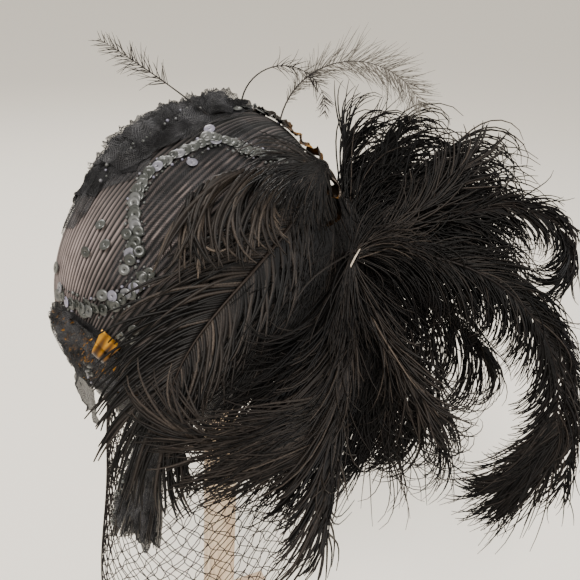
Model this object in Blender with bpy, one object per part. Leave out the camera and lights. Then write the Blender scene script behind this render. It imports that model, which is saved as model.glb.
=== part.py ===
"""Feather hat on a plain wooden stand, in metres, +Z up.

The hat has its own frame, the seat: x runs to its back, y to its far side and z up through the crown.
The seat is tilted so that the hat's front points down to -X. The plumes lie in the spray's frame:
x runs out from the binding, y up along the spray and z out of its plane.
The origin is the middle of the stand's underside.
"""

import bpy
import bmesh
import math
import numpy as np
from mathutils import Matrix, Vector
from mathutils.bvhtree import BVHTree

# Clearance that touching pieces keep.
GAP = 0.0003

# Crown: a ribbed dome over an oval mouth.
CROWN_LENGTH = 0.212
CROWN_WIDTH = 0.144
CROWN_HEIGHT = 0.105
CROWN_FULLNESS = 0.76
CROWN_WALL = 0.0022
RIB_COUNT = 24
RIB_RISE = 0.0008
RIB_FADE = 2.0

# Band: the straight wall below the crown.
BAND_HEIGHT = 0.045
BAND_WALL = 0.0024
BAND_PROUD = 0.0012
BAND_CRUMPLE = 0.0006

# Trim that lies on the crown, clear of its ribs. Edges are angles along the crown, in degrees.
TRIM_WALL = 0.0012
TRIM_LIFT = RIB_RISE + 2 * GAP
FRONT_PANEL_EDGE = 59.0
BACK_STRIP_START = 54.0
BACK_STRIP_WIDTH = 9.0
TULLE_PUFF = 0.0042
FOLD_RISE = 0.0030
SEQUIN_RADIUS = 0.0034
SEQUIN_PITCH = 0.0056
SCRAP_TOP = 0.002
SCRAP_DROP = 0.026

# How the hat sits on the stand.
SEAT_HEIGHT = 0.440
SEAT_OFFSET = 0.045
HAT_TILT = 30.0
HAT_LEAN = 7.0

# Stand: base, square post and the pad inside the crown.
BASE_SIDE = 0.170
BASE_THICKNESS = 0.020
BASE_BEVEL = 0.003
POST_SIDE = 0.022
STAND_TURN = -23.4
PAD_RADIUS = 0.030
PAD_THICKNESS = 0.012
PAD_CHAMFER = 0.002

# Veil: a net tube that hangs from the band all round.
VEIL_DEPTH = 0.220
VEIL_SLOPE = 0.5
VEIL_FLARE = 1.14
VEIL_RIPPLE = 0.02
VEIL_WAVES = 6
VEIL_WALL = 0.0012
VEIL_STRAND = 0.0022
VEIL_COLUMNS = 12
VEIL_HALF_ROWS = 7
VEIL_SEAM = 0.0009

# Tail: the gathered tulle that hangs in front of the veil.
# Angles are around the band, in degrees; the length is a share of the veil's.
TAIL_ANGLE = 162.0
TAIL_DRIFT = 8.0
TAIL_HEAD_SPAN = 14.0
TAIL_FOOT_SPAN = 30.0
TAIL_SHARE = 0.52
TAIL_WALL = 0.0020
TAIL_FOLD = 0.0030
TAIL_WAVES = 2.5
TAIL_CLEAR = 0.0006

# Spray: the plane of the plumes, its binding and knot, and the depth that the plumes share.
SPRAY_TURN = -50.0
SPRAY_PITCH = 28.0
SPRAY_ROLL = 3.8
BINDING_RADIUS = 0.005
BINDING_BACK = -0.026
BINDING_FRONT = 0.068
BINDING_ANGLE = 46.0
KNOT_RADIUS = 0.006
KNOT_ALONG = 50.0
KNOT_ACROSS = 70.0
KNOT_LENGTH = 0.052
KNOT_PATCH = 10.0
BAR_END = 0.92
DEPTH_RISE = 1.36 * CROWN_HEIGHT
DEPTH_RUN = 0.027
DEPTH_SPREAD = 3.0
DEPTH_SOFT = 0.004
BULGE_RISE = 0.022
BULGE_X = 0.090
BULGE_Y = -0.030
BULGE_REACH = 0.100
QUILL_THICKNESS = 0.0022
BARB_THICKNESS = 0.0012

# One row a plume. base: binding or knot; depth: its layer, mm; heading: degrees from the spray's x;
# bend and hook: degrees turned evenly and near the tip; length, left and right: mm, widths of the vane.
PLUMES = (
    # name, base, depth, heading, bend, hook, length, left, right
    ("plume_upper_back", "binding", -28, 92, -16, -8, 130, 22, 26),
    ("plume_upper_mid", "binding", -20, 69, -8, -6, 145, 26, 26),
    ("plume_upper_front", "binding", -12, 48, 2, -40, 160, 26, 24),
    ("plume_upper_low", "binding", -4, 27, 10, -42, 145, 24, 24),
    ("plume_grey", "binding", 12, 27, 30, -10, 112, 14, 16),
    ("plume_curl", "binding", 4, 17, 40, -248, 222, 22, 16),
    ("plume_crescent", "binding", 20, 12, -130, -54, 294, 34, 20),
    ("plume_edge", "binding", -36, 22, -150, 16, 350, 20, 22),
    ("plume_side", "binding", -28, 341, -44, -20, 196, 24, 26),
    ("plume_low_back", "binding", -12, 306, -20, -28, 200, 30, 28),
    ("plume_low_mid", "binding", 4, 281, 2, -4, 178, 30, 30),
    ("plume_low_front", "binding", 12, 256, -6, -30, 150, 26, 28),
    ("plume_hanging", "binding", 28, 272, -38, 36, 190, 16, 18),
    ("plume_lock", "binding", 36, 290, 14, 4, 112, 10, 12),
    ("plume_flat", "binding", 20, 276, -88, -64, 176, 16, 18),
    ("plume_side_quill", "knot", 8, 249, -66, 108, 178, 34, 46),
    ("plume_arched", "knot", 16, 204, -36, 96, 80, 36, 6),
)
PLUME_STATIONS = 14
SPINE_STEPS = 8
LOCK_DEPTH = 0.30
BARB_SWEEP = 40.0
BARB_SPLAY = 20.0
VANE_ROOT = 0.30
QUILL_HALF_WIDTH = 0.0012
WIDE_VANE = 0.028

# One row a wisp that stands on the crown: its foot as angles along and across the crown, its heading
# and bend in the spray's plane in degrees, its length and its vane's half width in mm.
WISPS = (
    # name, along, across, heading, bend, length, width
    ("wisp_left", 28, -1, 141, 8, 86, 4),
    ("wisp_middle", 49, -12, 92, -190, 92, 4),
    ("wisp_right", 67, 5, 82, -150, 134, 8),
)
WISP_THICKNESS = 0.0016
WISP_STATIONS = 12

# Sequin vines: points of each route as angles along and across the crown, in degrees.
VINE_TOP = (
    # along, across
    (33, 44), (24, 29), (18, 13), (10, 11), (0, 5), (-8, 5), (-17, 11), (-23, 19), (-32, 25),
)
VINE_FRONT = (
    # along, across
    (-29, 34), (-40, 32), (-47, 27), (-52, 15), (-54, 0), (-54, -16),
)

COLOURS = {
    "crown": ((0.055, 0.047, 0.047), 0.75, 0.0),
    "gold": ((0.42, 0.22, 0.03), 0.30, 0.8),
    "tulle": ((0.020, 0.020, 0.024), 0.85, 0.0),
    "sequin": ((0.11, 0.12, 0.13), 0.25, 0.4),
    "plume": ((0.012, 0.010, 0.009), 0.70, 0.0),
    "veil": ((0.030, 0.022, 0.020), 0.80, 0.0),
    "wood": ((0.78, 0.68, 0.55), 0.60, 0.0),
}


def clear_scene():
    for old in list(bpy.data.objects):
        bpy.data.objects.remove(old, do_unlink=True)


def finish_of(name):
    """The Principled material of one finish, made once."""
    found = bpy.data.materials.get(name)
    if found:
        return found
    colour, roughness, metallic = COLOURS[name]
    material = bpy.data.materials.new(name)
    material.use_nodes = True
    shader = material.node_tree.nodes["Principled BSDF"]
    shader.inputs["Base Color"].default_value = (*colour, 1.0)
    shader.inputs["Roughness"].default_value = roughness
    shader.inputs["Metallic"].default_value = metallic
    material.diffuse_color = (*colour, 1.0)
    return material


def put_in_scene(name, mesh, finish, parent=None):
    """A new object that shows this mesh with one finish."""
    thing = bpy.data.objects.new(name, mesh)
    thing.data.materials.append(finish_of(finish))
    bpy.context.scene.collection.objects.link(thing)
    thing.parent = parent
    return thing


def solid_of(name, points, faces, finish, parent=None):
    """A new object of these points and faces, closed, with its faces pointing out."""
    mesh = bpy.data.meshes.new(name)
    mesh.from_pydata([tuple(point) for point in points], [], [tuple(face) for face in faces])
    shape = bmesh.new()
    shape.from_mesh(mesh)
    bmesh.ops.remove_doubles(shape, verts=shape.verts, dist=1e-6)
    bmesh.ops.dissolve_degenerate(shape, edges=shape.edges, dist=1e-6)
    bmesh.ops.recalc_face_normals(shape, faces=shape.faces)
    shape.to_mesh(mesh)
    shape.free()
    mesh.shade_smooth()
    mesh.set_sharp_from_angle(angle=math.radians(40.0))
    return put_in_scene(name, mesh, finish, parent)


def grid_faces(index):
    """Two triangles for each cell of a grid of point numbers."""
    a, b = index[:-1, :-1].ravel(), index[1:, :-1].ravel()
    c, d = index[1:, 1:].ravel(), index[:-1, 1:].ravel()
    return np.vstack([np.column_stack([a, b, c]), np.column_stack([a, c, d])])


def closed_sheet(name, top, bottom, finish, parent=None, wrap=False):
    """A wall between two grids of points: both faces and the edges that join them.

    wrap joins the last column to the first, for a ring or a tube.
    """
    rows, columns = top.shape[:2]
    count = rows * columns
    index = np.arange(count).reshape(rows, columns)
    if wrap:
        index = np.hstack([index, index[:, :1]])
    upper = grid_faces(index)
    faces = [upper, upper[:, ::-1] + count]
    borders = [index[0], index[-1][::-1]]
    if not wrap:
        borders += [index[::-1, 0], index[:, -1]]
    for border in borders:
        near, far = border[:-1], border[1:]
        faces.append(np.column_stack([near, far, far + count]))
        faces.append(np.column_stack([near, far + count, near + count]))
    points = np.vstack([top.reshape(-1, 3), bottom.reshape(-1, 3)])
    return solid_of(name, points, np.vstack(faces), finish, parent)


def dome(along, across, offset=0.0):
    """Points of the crown's outer face: a half ball in two angles, stretched to the crown's size.

    along runs from the front pole to the back one, across from the far rim to the near one, in degrees.
    offset moves the points out along the face's normal.
    """
    along, across, offset = np.broadcast_arrays(np.radians(along), np.radians(across), offset)
    fore = np.sin(along)
    side = np.cos(along) * np.sin(across)
    rise = np.clip(np.cos(along) * np.cos(across), 0.0, 1.0)
    half_length, half_width = CROWN_LENGTH / 2, CROWN_WIDTH / 2
    points = np.stack([half_length * fore, -half_width * side, CROWN_HEIGHT * rise**CROWN_FULLNESS], -1)
    steep = np.maximum(rise, 0.02) ** (2.0 - CROWN_FULLNESS) / (CROWN_FULLNESS * CROWN_HEIGHT)
    normal = np.stack([fore / half_length, -side / half_width, steep], -1)
    normal /= np.linalg.norm(normal, axis=-1, keepdims=True)
    return points + normal * offset[..., None]


def build_crown(seat):
    """The ribbed dome, hollow and open below; its ribs run from the front pole to the back one."""
    across = np.linspace(-90.0, 90.0, 2 * RIB_COUNT + 1)
    half = np.array([0.0, 17.0, 34.0, 51.0, 66.0, 79.0, 90.0])
    along = np.concatenate([-half[:0:-1], half])
    ridge = np.where(np.arange(len(across)) % 2, 1.0, -1.0)
    fade = np.clip(RIB_FADE * np.cos(np.radians(along)), 0.0, 1.0)
    outer = dome(along[:, None], across[None, :], RIB_RISE * fade[:, None] * ridge[None, :])
    size = np.array([CROWN_LENGTH / 2, CROWN_WIDTH / 2, CROWN_HEIGHT])
    inner = dome(along[:, None], across[None, :]) * (1.0 - CROWN_WALL / size)
    return closed_sheet("crown", outer, inner, "crown", seat)


def band_ring(angle, proud):
    """The band's oval, proud of the crown's mouth by the given distance; the near side is at 90."""
    turn = np.radians(angle)
    x = (CROWN_LENGTH / 2 + proud) * np.cos(turn)
    y = -(CROWN_WIDTH / 2 + proud) * np.sin(turn)
    return x, y


def build_band(seat):
    """The straight wall under the crown, with shallow crumples."""
    angle = np.arange(0.0, 360.0, 9.0)
    heights = np.array([-GAP, -0.5 * BAND_HEIGHT, -BAND_HEIGHT])
    crumple = BAND_CRUMPLE * np.sin(np.radians(angle) * 10.0)[None, :] * np.array([0, 1, 0])[:, None]
    faces = []
    for proud in (BAND_PROUD, BAND_PROUD - BAND_WALL):
        x, y = band_ring(angle[None, :], proud + crumple)
        faces.append(np.stack([x, y, np.broadcast_to(heights[:, None], x.shape)], -1))
    return closed_sheet("band", faces[0], faces[1], "gold", seat, wrap=True)


def trim_patch(name, along, across, lift, finish, seat):
    """A sheet that follows the crown over a range of both angles; lift is its inner face's height."""
    return closed_sheet(name, dome(along, across, lift + TRIM_WALL), dome(along, across, lift), finish, seat)


def build_crown_trim(seat):
    """The panel over the crown's front, the strip over its back, a ribbon fold and the crumpled tulle."""
    along = np.array([-88.0, -79.0, -69.0, -FRONT_PANEL_EDGE])[:, None]
    across = np.linspace(-78.0, 78.0, 15)[None, :]
    wave = 0.5 * BAND_CRUMPLE * (1.0 + np.sin(np.radians(across) * 8.0 + np.radians(along) * 9.0))
    trim_patch("front_panel", along, across, TRIM_LIFT + wave, "tulle", seat)

    along = np.array([-74.0, -68.0, -62.0, -56.0, -52.0])[:, None]
    across = np.linspace(22.5, 44.0, 6)[None, :]
    fold = FOLD_RISE * np.array([0.0, 0.9, 0.2, 1.0, 0.3])[:, None] * np.ones_like(across)
    over_panel = TRIM_LIFT + TRIM_WALL + 2 * GAP
    trim_patch("ribbon_fold", along, across, over_panel + fold, "gold", seat)

    along = BACK_STRIP_START + np.linspace(0.0, BACK_STRIP_WIDTH, 3)[:, None]
    across = np.linspace(-60.0, 80.0, 17)[None, :]
    wave = 0.5 * BAND_CRUMPLE * (1.0 + np.sin(np.radians(across) * 7.0)) * np.ones_like(along)
    trim_patch("gold_strip", along, across, TRIM_LIFT - 2 * GAP + wave, "gold", seat)

    along = np.linspace(-38.0, 46.0, 14)[:, None]
    edge = -3.5 - 4.0 * np.sin(np.radians(along) * 5.0) ** 2
    across = -70.0 + (edge + 70.0) * np.linspace(0.0, 1.0, 9)[None, :]
    puff = 0.5 + 0.5 * np.sin(np.radians(along) * 11.0) * np.sin(np.radians(across) * 13.0)
    ends = np.clip((46.0 - np.abs(along - 4.0)) / 12.0, 0.0, 1.0)
    swell = np.clip((-8.0 - across) / 20.0, 0.0, 1.0) * ends
    trim_patch("tulle_drape", along, across, TRIM_LIFT + TULLE_PUFF * swell * puff, "tulle", seat)


def build_scrap(seat):
    """The scrap of net that hangs over the band's front."""
    angle = np.linspace(183.0, 207.0, 6)[None, :]
    drop = np.linspace(0.0, 1.0, 5)[:, None]
    ripple = 0.5 * FOLD_RISE * drop * (1.0 + np.sin(np.radians(angle) * 24.0))
    faces = []
    for wall in (TRIM_WALL, 0.0):
        x, y = band_ring(angle, BAND_PROUD + BAND_CRUMPLE + ripple + wall)
        faces.append(np.stack([x, y, np.broadcast_to(-SCRAP_TOP - SCRAP_DROP * drop, x.shape)], -1))
    closed_sheet("net_scrap", faces[0], faces[1], "tulle", seat)


def even_route(points, step):
    """A smooth line through the given points, with a point about every step."""
    points = np.asarray(points, float)
    knots = np.concatenate([[0.0], np.cumsum(np.linalg.norm(np.diff(points, axis=0), axis=1))])
    tangent = np.gradient(points, knots, axis=0)
    fine = np.linspace(0.0, knots[-1], 400)
    cell = np.clip(np.searchsorted(knots, fine, side="right") - 1, 0, len(points) - 2)
    width = (knots[cell + 1] - knots[cell])[:, None]
    t = (fine[:, None] - knots[cell][:, None]) / width
    line = (
        (2 * t**3 - 3 * t**2 + 1) * points[cell]
        + (t**3 - 2 * t**2 + t) * width * tangent[cell]
        + (3 * t**2 - 2 * t**3) * points[cell + 1]
        + (t**3 - t**2) * width * tangent[cell + 1]
    )
    run = np.concatenate([[0.0], np.cumsum(np.linalg.norm(np.diff(line, axis=0), axis=1))])
    even = np.linspace(0.0, run[-1], max(2, int(round(run[-1] / step))) + 1)
    return np.stack([np.interp(even, run, line[:, k]) for k in range(line.shape[1])], -1)


def build_vine(name, angles, seat):
    """Overlapping sequins along a route on the crown, as one strip with a scallop for each sequin."""
    angles = even_route(angles, 1.0)
    middle = dome(angles[:, 0], angles[:, 1])
    run = np.concatenate([[0.0], np.cumsum(np.linalg.norm(np.diff(middle, axis=0), axis=1))])
    steps = np.linspace(0.0, run[-1], 3 * int(round(run[-1] / SEQUIN_PITCH)) + 1)
    angles = np.stack([np.interp(steps, run, angles[:, k]) for k in (0, 1)], -1)
    middle = dome(angles[:, 0], angles[:, 1])
    normal = dome(angles[:, 0], angles[:, 1], 1.0) - middle
    sideways = np.cross(normal, np.gradient(middle, axis=0))
    sideways /= np.linalg.norm(sideways, axis=-1, keepdims=True)
    phase = np.arange(len(steps)) % 3
    half_width = SEQUIN_RADIUS * np.array([0.55, 1.0, 1.0])[phase]
    shingle = 0.5 * TRIM_WALL * np.array([0.0, 0.35, 0.7])[phase]
    sheets = []
    for lift in (TRIM_LIFT + TRIM_WALL + shingle, np.full(len(steps), TRIM_LIFT)):
        sheet = middle + normal * lift[:, None]
        aside = sideways * half_width[:, None]
        sheets.append(np.stack([sheet - aside, sheet + aside], 1))
    return closed_sheet(name, sheets[0], sheets[1], "sequin", seat)


def seat_matrix():
    """Where the hat sits: tilted with its front down, leaned to the near side, over the post."""
    turn = Matrix.Rotation(math.radians(-HAT_TILT), 4, "Y") @ Matrix.Rotation(math.radians(HAT_LEAN), 4, "X")
    middle = turn @ Vector((0.0, 0.0, SEAT_OFFSET)) + Vector((0.0, 0.0, SEAT_HEIGHT))
    return Matrix.Translation(middle) @ turn


def moved(matrix, points):
    """Points taken through a matrix, as an array."""
    array = np.array(matrix)
    return np.asarray(points, float) @ array[:3, :3].T + array[:3, 3]


def spray_matrix(seat):
    """The spray's frame: its origin is the binding's middle, beside the band; z points out of its plane."""
    turn, pitch = math.radians(SPRAY_TURN), math.radians(SPRAY_PITCH)
    outward = Vector((math.sin(turn) * math.cos(pitch), -math.cos(turn) * math.cos(pitch), math.sin(pitch)))
    level = Vector((math.cos(turn), math.sin(turn), 0.0))
    axes = Matrix((level, outward.cross(level), outward)).transposed().to_4x4()
    angle = math.radians(BINDING_ANGLE)
    beside = Vector((math.cos(angle) / CROWN_LENGTH, -math.sin(angle) / CROWN_WIDTH, 0.0)).normalized()
    x, y = band_ring(BINDING_ANGLE, BAND_PROUD)
    clear = BINDING_RADIUS + GAP
    foot = seat @ (Vector((x, y, GAP - BAND_HEIGHT)) + beside * clear)
    return Matrix.Translation(foot) @ axes @ Matrix.Rotation(math.radians(SPRAY_ROLL), 4, "Z")


def knot_in_spray(seat, spray):
    """The foot of the ribbon knot in the spray's frame: clear of the crown under all of its end."""
    along = KNOT_ALONG + np.linspace(-KNOT_PATCH, KNOT_PATCH, 21)[:, None]
    across = KNOT_ACROSS + np.linspace(-KNOT_PATCH, KNOT_PATCH, 21)[None, :]
    patch = moved(spray.inverted() @ seat, dome(along, across, RIB_RISE)).reshape(-1, 3)
    middle = patch[len(patch) // 2]
    under = np.hypot(patch[:, 0] - middle[0], patch[:, 1] - middle[1]) < BAR_END * KNOT_RADIUS
    return np.array([middle[0], middle[1], patch[under, 2].max()])


def depth_field(x, y, layer):
    """How far out of the spray's plane a plume lies: it steps forward over the crown, and layers fan out."""
    over = DEPTH_SOFT * np.log1p(np.exp(-x / DEPTH_SOFT))
    step = DEPTH_RISE * (1.0 - np.exp(-over / DEPTH_RUN))
    bulge = BULGE_RISE * np.exp(-((x - BULGE_X) ** 2 + (y - BULGE_Y) ** 2) / BULGE_REACH**2)
    return step + bulge + layer * (1.0 + DEPTH_SPREAD * np.hypot(x, y))


def spine(start, heading, bend, hook, length, stations):
    """A planar line whose direction turns evenly by bend and, towards its tip, by hook."""
    share = np.linspace(0.0, 1.0, SPINE_STEPS * stations + 1)
    angle = np.radians(heading + bend * share + hook * share**3)
    half_step = 0.5 * length / (SPINE_STEPS * stations)
    x = start[0] + np.concatenate([[0.0], np.cumsum(half_step * (np.cos(angle[1:]) + np.cos(angle[:-1])))])
    y = start[1] + np.concatenate([[0.0], np.cumsum(half_step * (np.sin(angle[1:]) + np.sin(angle[:-1])))])
    return x[::SPINE_STEPS], y[::SPINE_STEPS], angle[::SPINE_STEPS]


def build_vane(name, line, left, right, columns, depth_of, thickness, spray):
    """A vane in locks: barbs swept forward from a quill, both faces following the given depth."""
    x, y, angle = line
    share = np.linspace(0.0, 1.0, len(x))
    fullness = np.clip(share / VANE_ROOT, 0.0, 1.0) ** 0.8 * np.sqrt(np.clip(1.0 - share**4, 0.0, 1.0))
    lock = np.where(np.arange(len(x)) % 2, 1.0, 1.0 - LOCK_DEPTH)
    spread = np.linspace(-1.0, 1.0, columns)
    width = np.where(spread < 0, right, left)[None, :] * (fullness * lock)[:, None]
    reach = np.abs(spread)[None, :] * np.maximum(width, QUILL_HALF_WIDTH)
    sweep = np.radians(BARB_SWEEP + BARB_SPLAY * np.abs(spread)) * np.sign(spread)
    direction = angle[:, None] + sweep[None, :]
    across_x = x[:, None] + reach * np.cos(direction)
    across_y = y[:, None] + reach * np.sin(direction)
    level = depth_of(across_x, across_y)
    half = 0.5 * (thickness + (BARB_THICKNESS - thickness) * np.abs(spread)[None, :])
    top = np.stack([across_x, across_y, level + half], -1)
    bottom = np.stack([across_x, across_y, level - half], -1)
    return closed_sheet(name, top, bottom, "plume", spray)


def build_plumes(knot, spray):
    """Every plume: it starts at its bar's side and follows the depth of its own layer."""
    bars = {"binding": ((0.0, 0.0), BINDING_RADIUS), "knot": (knot[:2], KNOT_RADIUS)}
    for name, base, depth, heading, bend, hook, length, left, right in PLUMES:
        centre, radius = bars[base]
        toward = np.array([math.cos(math.radians(heading)), math.sin(math.radians(heading))])
        start = np.asarray(centre) + (radius + GAP) * toward
        line = spine(start, heading, bend, hook, length / 1000, PLUME_STATIONS)
        layer, left, right = depth / 1000, left / 1000, right / 1000
        columns = 7 if base == "knot" else 5 if max(left, right) >= WIDE_VANE else 3
        build_vane(name, line, left, right, columns,
                   lambda x, y: depth_field(x, y, layer), QUILL_THICKNESS, spray)


def build_wisps(seat, frame, spray):
    """Narrow blades that stand on the crown, each flat in a plane of the spray."""
    for name, along, across, heading, bend, length, width in WISPS:
        foot = moved(frame.inverted() @ seat, dome(along, across, RIB_RISE))
        line = spine(foot[:2], heading, bend, 0.0, length / 1000, WISP_STATIONS)
        half_width = width / 1000
        build_vane(name, line, half_width, half_width, 3,
                   lambda x, y: np.full_like(x, foot[2]), WISP_THICKNESS, spray)


def build_bar(name, centre, radius, low, high, parent):
    """A short bound bundle across the spray's plane, drawn in a little at both ends."""
    sides = 10
    turn = np.linspace(0.0, 2 * np.pi, sides, endpoint=False)
    heights = [low, low, low + 0.3 * (high - low), high - 0.3 * (high - low), high, high]
    rings = [0.0, BAR_END * radius, radius, radius, BAR_END * radius, 0.0]
    grid = [
        np.stack([centre[0] + ring * np.cos(turn), centre[1] + ring * np.sin(turn), np.full(sides, height)], -1)
        for ring, height in zip(rings, heights)
    ]
    index = np.arange(len(rings) * sides).reshape(len(rings), sides)
    index = np.hstack([index, index[:, :1]])
    return solid_of(name, np.concatenate(grid), grid_faces(index), "gold", parent)


def build_base():
    """The square base board, its top edges eased."""
    board = bpy.data.meshes.new("stand_base")
    shape = bmesh.new()
    bmesh.ops.create_cube(shape, size=1.0)
    bmesh.ops.scale(shape, vec=(BASE_SIDE, BASE_SIDE, BASE_THICKNESS), verts=shape.verts)
    bmesh.ops.translate(shape, vec=(0.0, 0.0, BASE_THICKNESS / 2), verts=shape.verts)
    turn = Matrix.Rotation(math.radians(STAND_TURN), 3, "Z")
    bmesh.ops.rotate(shape, cent=(0.0, 0.0, 0.0), matrix=turn, verts=shape.verts)
    top_edges = [edge for edge in shape.edges if all(vert.co.z > BASE_THICKNESS / 2 for vert in edge.verts)]
    bmesh.ops.bevel(shape, geom=top_edges, offset=BASE_BEVEL, segments=2, affect="EDGES", profile=0.5)
    shape.to_mesh(board)
    shape.free()
    put_in_scene("stand_base", board, "wood")


def build_post_and_pad(crown, seat):
    """The pad that fills the crown over the post, flat below, and the square post up to it."""
    inside = BVHTree.FromPolygons(
        [vert.co for vert in crown.data.vertices], [list(face.vertices) for face in crown.data.polygons]
    )
    to_seat = seat.inverted()
    upward = (to_seat.to_3x3() @ Vector((0.0, 0.0, 1.0))).normalized()

    def ceiling(x, y):
        start = to_seat @ Vector((x, y, seat.translation.z))
        return (seat @ inside.ray_cast(start, upward)[0]).z

    shares = np.array([0.0, 0.5, 0.86, 1.0])[:, None]
    ring = np.linspace(0.0, 2 * np.pi, 18, endpoint=False)[None, :]
    x, y = PAD_RADIUS * shares * np.cos(ring), PAD_RADIUS * shares * np.sin(ring)
    roof = np.array([ceiling(a, b) for a, b in zip(x.ravel(), y.ravel())]).reshape(x.shape)
    roof = roof - 2 * GAP - PAD_CHAMFER * (shares > 0.99)
    floor = roof.min() - PAD_THICKNESS
    top = np.stack([x, y, roof], -1)
    bottom = np.stack([x, y, np.full_like(x, floor)], -1)
    closed_sheet("stand_pad", top, bottom, "wood", wrap=True)

    turn = np.radians(STAND_TURN + 45.0 + np.array([0.0, 90.0, 180.0, 270.0]))
    corner = POST_SIDE / math.sqrt(2.0)
    points = [
        (corner * math.cos(angle), corner * math.sin(angle), height)
        for height in (BASE_THICKNESS + GAP, floor - GAP) for angle in turn
    ]
    sides = [(k, (k + 1) % 4, 4 + (k + 1) % 4, 4 + k) for k in range(4)]
    solid_of("stand_post", points, [(3, 2, 1, 0), (4, 5, 6, 7)] + sides, "wood")


def veil_point(angle, drop, seat):
    """A point of the veil: from the band's lower edge down, spreading a little and rippling on the way."""
    x, y = band_ring(angle, BAND_PROUD - BAND_WALL / 2)
    edge = moved(seat, np.stack([x, y, np.full_like(x, -BAND_HEIGHT - VEIL_SEAM)], -1))
    middle = moved(seat, (0.0, 0.0, -BAND_HEIGHT))[2]
    hem = middle - VEIL_DEPTH + VEIL_SLOPE * (edge[..., 2] - middle)
    spread = (1.0 + (VEIL_FLARE - 1.0) * drop) * (1.0 + VEIL_RIPPLE * drop * np.sin(np.radians(angle) * VEIL_WAVES))
    height = edge[..., 2] + (hem - edge[..., 2]) * drop
    return np.stack([edge[..., 0] * spread, edge[..., 1] * spread, height], -1)


def build_veil(seat):
    """A net tube of diamond gaps: each cell of the tube is drawn in from its strands and opened."""
    step = 360.0 / VEIL_COLUMNS
    rows, columns = np.arange(VEIL_HALF_ROWS + 1)[:, None], np.arange(VEIL_COLUMNS)[None, :]
    points = veil_point((columns + 0.5 * (rows % 2)) * step, rows / VEIL_HALF_ROWS + 0.0 * columns, seat)

    def number(row, column):
        return row * VEIL_COLUMNS + column % VEIL_COLUMNS

    cells, rims = [], []
    for k in range(VEIL_COLUMNS):
        for row in range(VEIL_HALF_ROWS - 1):
            before = k - 1 + row % 2
            cells.append((number(row, k), number(row + 1, before), number(row + 2, k), number(row + 1, before + 1)))
        hem, inner = VEIL_HALF_ROWS, k + VEIL_HALF_ROWS % 2
        rims.append((number(0, k), number(1, k), number(0, k + 1)))
        rims.append((number(hem, k), number(hem, k + 1), number(hem - 1, inner)))
    mesh = bpy.data.meshes.new("veil")
    mesh.from_pydata([tuple(point) for point in points.reshape(-1, 3)], [], cells + rims)
    shape = bmesh.new()
    shape.from_mesh(mesh)
    shape.faces.ensure_lookup_table()
    netted = [shape.faces[k] for k in range(len(cells))]
    bmesh.ops.recalc_face_normals(shape, faces=shape.faces)
    bmesh.ops.inset_individual(shape, faces=netted, thickness=VEIL_STRAND / 2, use_even_offset=True)
    bmesh.ops.delete(shape, geom=netted, context="FACES_ONLY")
    shape.to_mesh(mesh)
    shape.free()
    veil = put_in_scene("veil", mesh, "veil")
    wall = veil.modifiers.new("wall", "SOLIDIFY")
    wall.thickness = VEIL_WALL
    wall.offset = -1.0


def build_tail(seat):
    """The gathered tulle that hangs outside the veil at the hat's front, folded down its length."""
    drop = np.linspace(0.0, 1.0, 9)[:, None]
    side = np.linspace(-1.0, 1.0, 11)[None, :]
    span = TAIL_HEAD_SPAN + (TAIL_FOOT_SPAN - TAIL_HEAD_SPAN) * drop
    angle = TAIL_ANGLE + TAIL_DRIFT * drop + 0.5 * span * side
    hung = veil_point(angle, TAIL_SHARE * drop + 0.0 * side, seat)
    outward = hung[..., :2] / np.linalg.norm(hung[..., :2], axis=-1, keepdims=True)
    fold = TAIL_FOLD * drop * (1.0 + np.sin(side * TAIL_WAVES * np.pi))
    faces = []
    for wall in (TAIL_WALL, 0.0):
        moved_out = hung.copy()
        moved_out[..., :2] += outward * (TAIL_CLEAR + fold + wall)[..., None]
        faces.append(moved_out)
    closed_sheet("tulle_tail", faces[0], faces[1], "tulle")


def frames():
    """The seat, the spray's frame and the knot's foot in it."""
    seat = seat_matrix()
    spray = spray_matrix(seat)
    return seat, spray, knot_in_spray(seat, spray)


def build_hat():
    seat, spray, knot = frames()
    hat = bpy.data.objects.new("hat_seat", None)
    hat.matrix_world = seat
    fan = bpy.data.objects.new("spray_frame", None)
    fan.matrix_world = spray
    for empty in (hat, fan):
        bpy.context.scene.collection.objects.link(empty)
    crown = build_crown(hat)
    build_band(hat)
    build_crown_trim(hat)
    build_scrap(hat)
    build_vine("sequin_vine_top", VINE_TOP, hat)
    build_vine("sequin_vine_front", VINE_FRONT, hat)
    build_bar("quill_binding", (0.0, 0.0), BINDING_RADIUS, BINDING_BACK, BINDING_FRONT, fan)
    build_bar("ribbon_knot", knot[:2], KNOT_RADIUS, knot[2], knot[2] + KNOT_LENGTH, fan)
    build_plumes(knot, fan)
    build_wisps(seat, spray, fan)
    build_veil(seat)
    build_tail(seat)
    build_base()
    build_post_and_pad(crown, seat)


clear_scene()
build_hat()
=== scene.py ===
import math

import bmesh
import bpy
import numpy as np
from mathutils import Matrix, Vector


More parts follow.
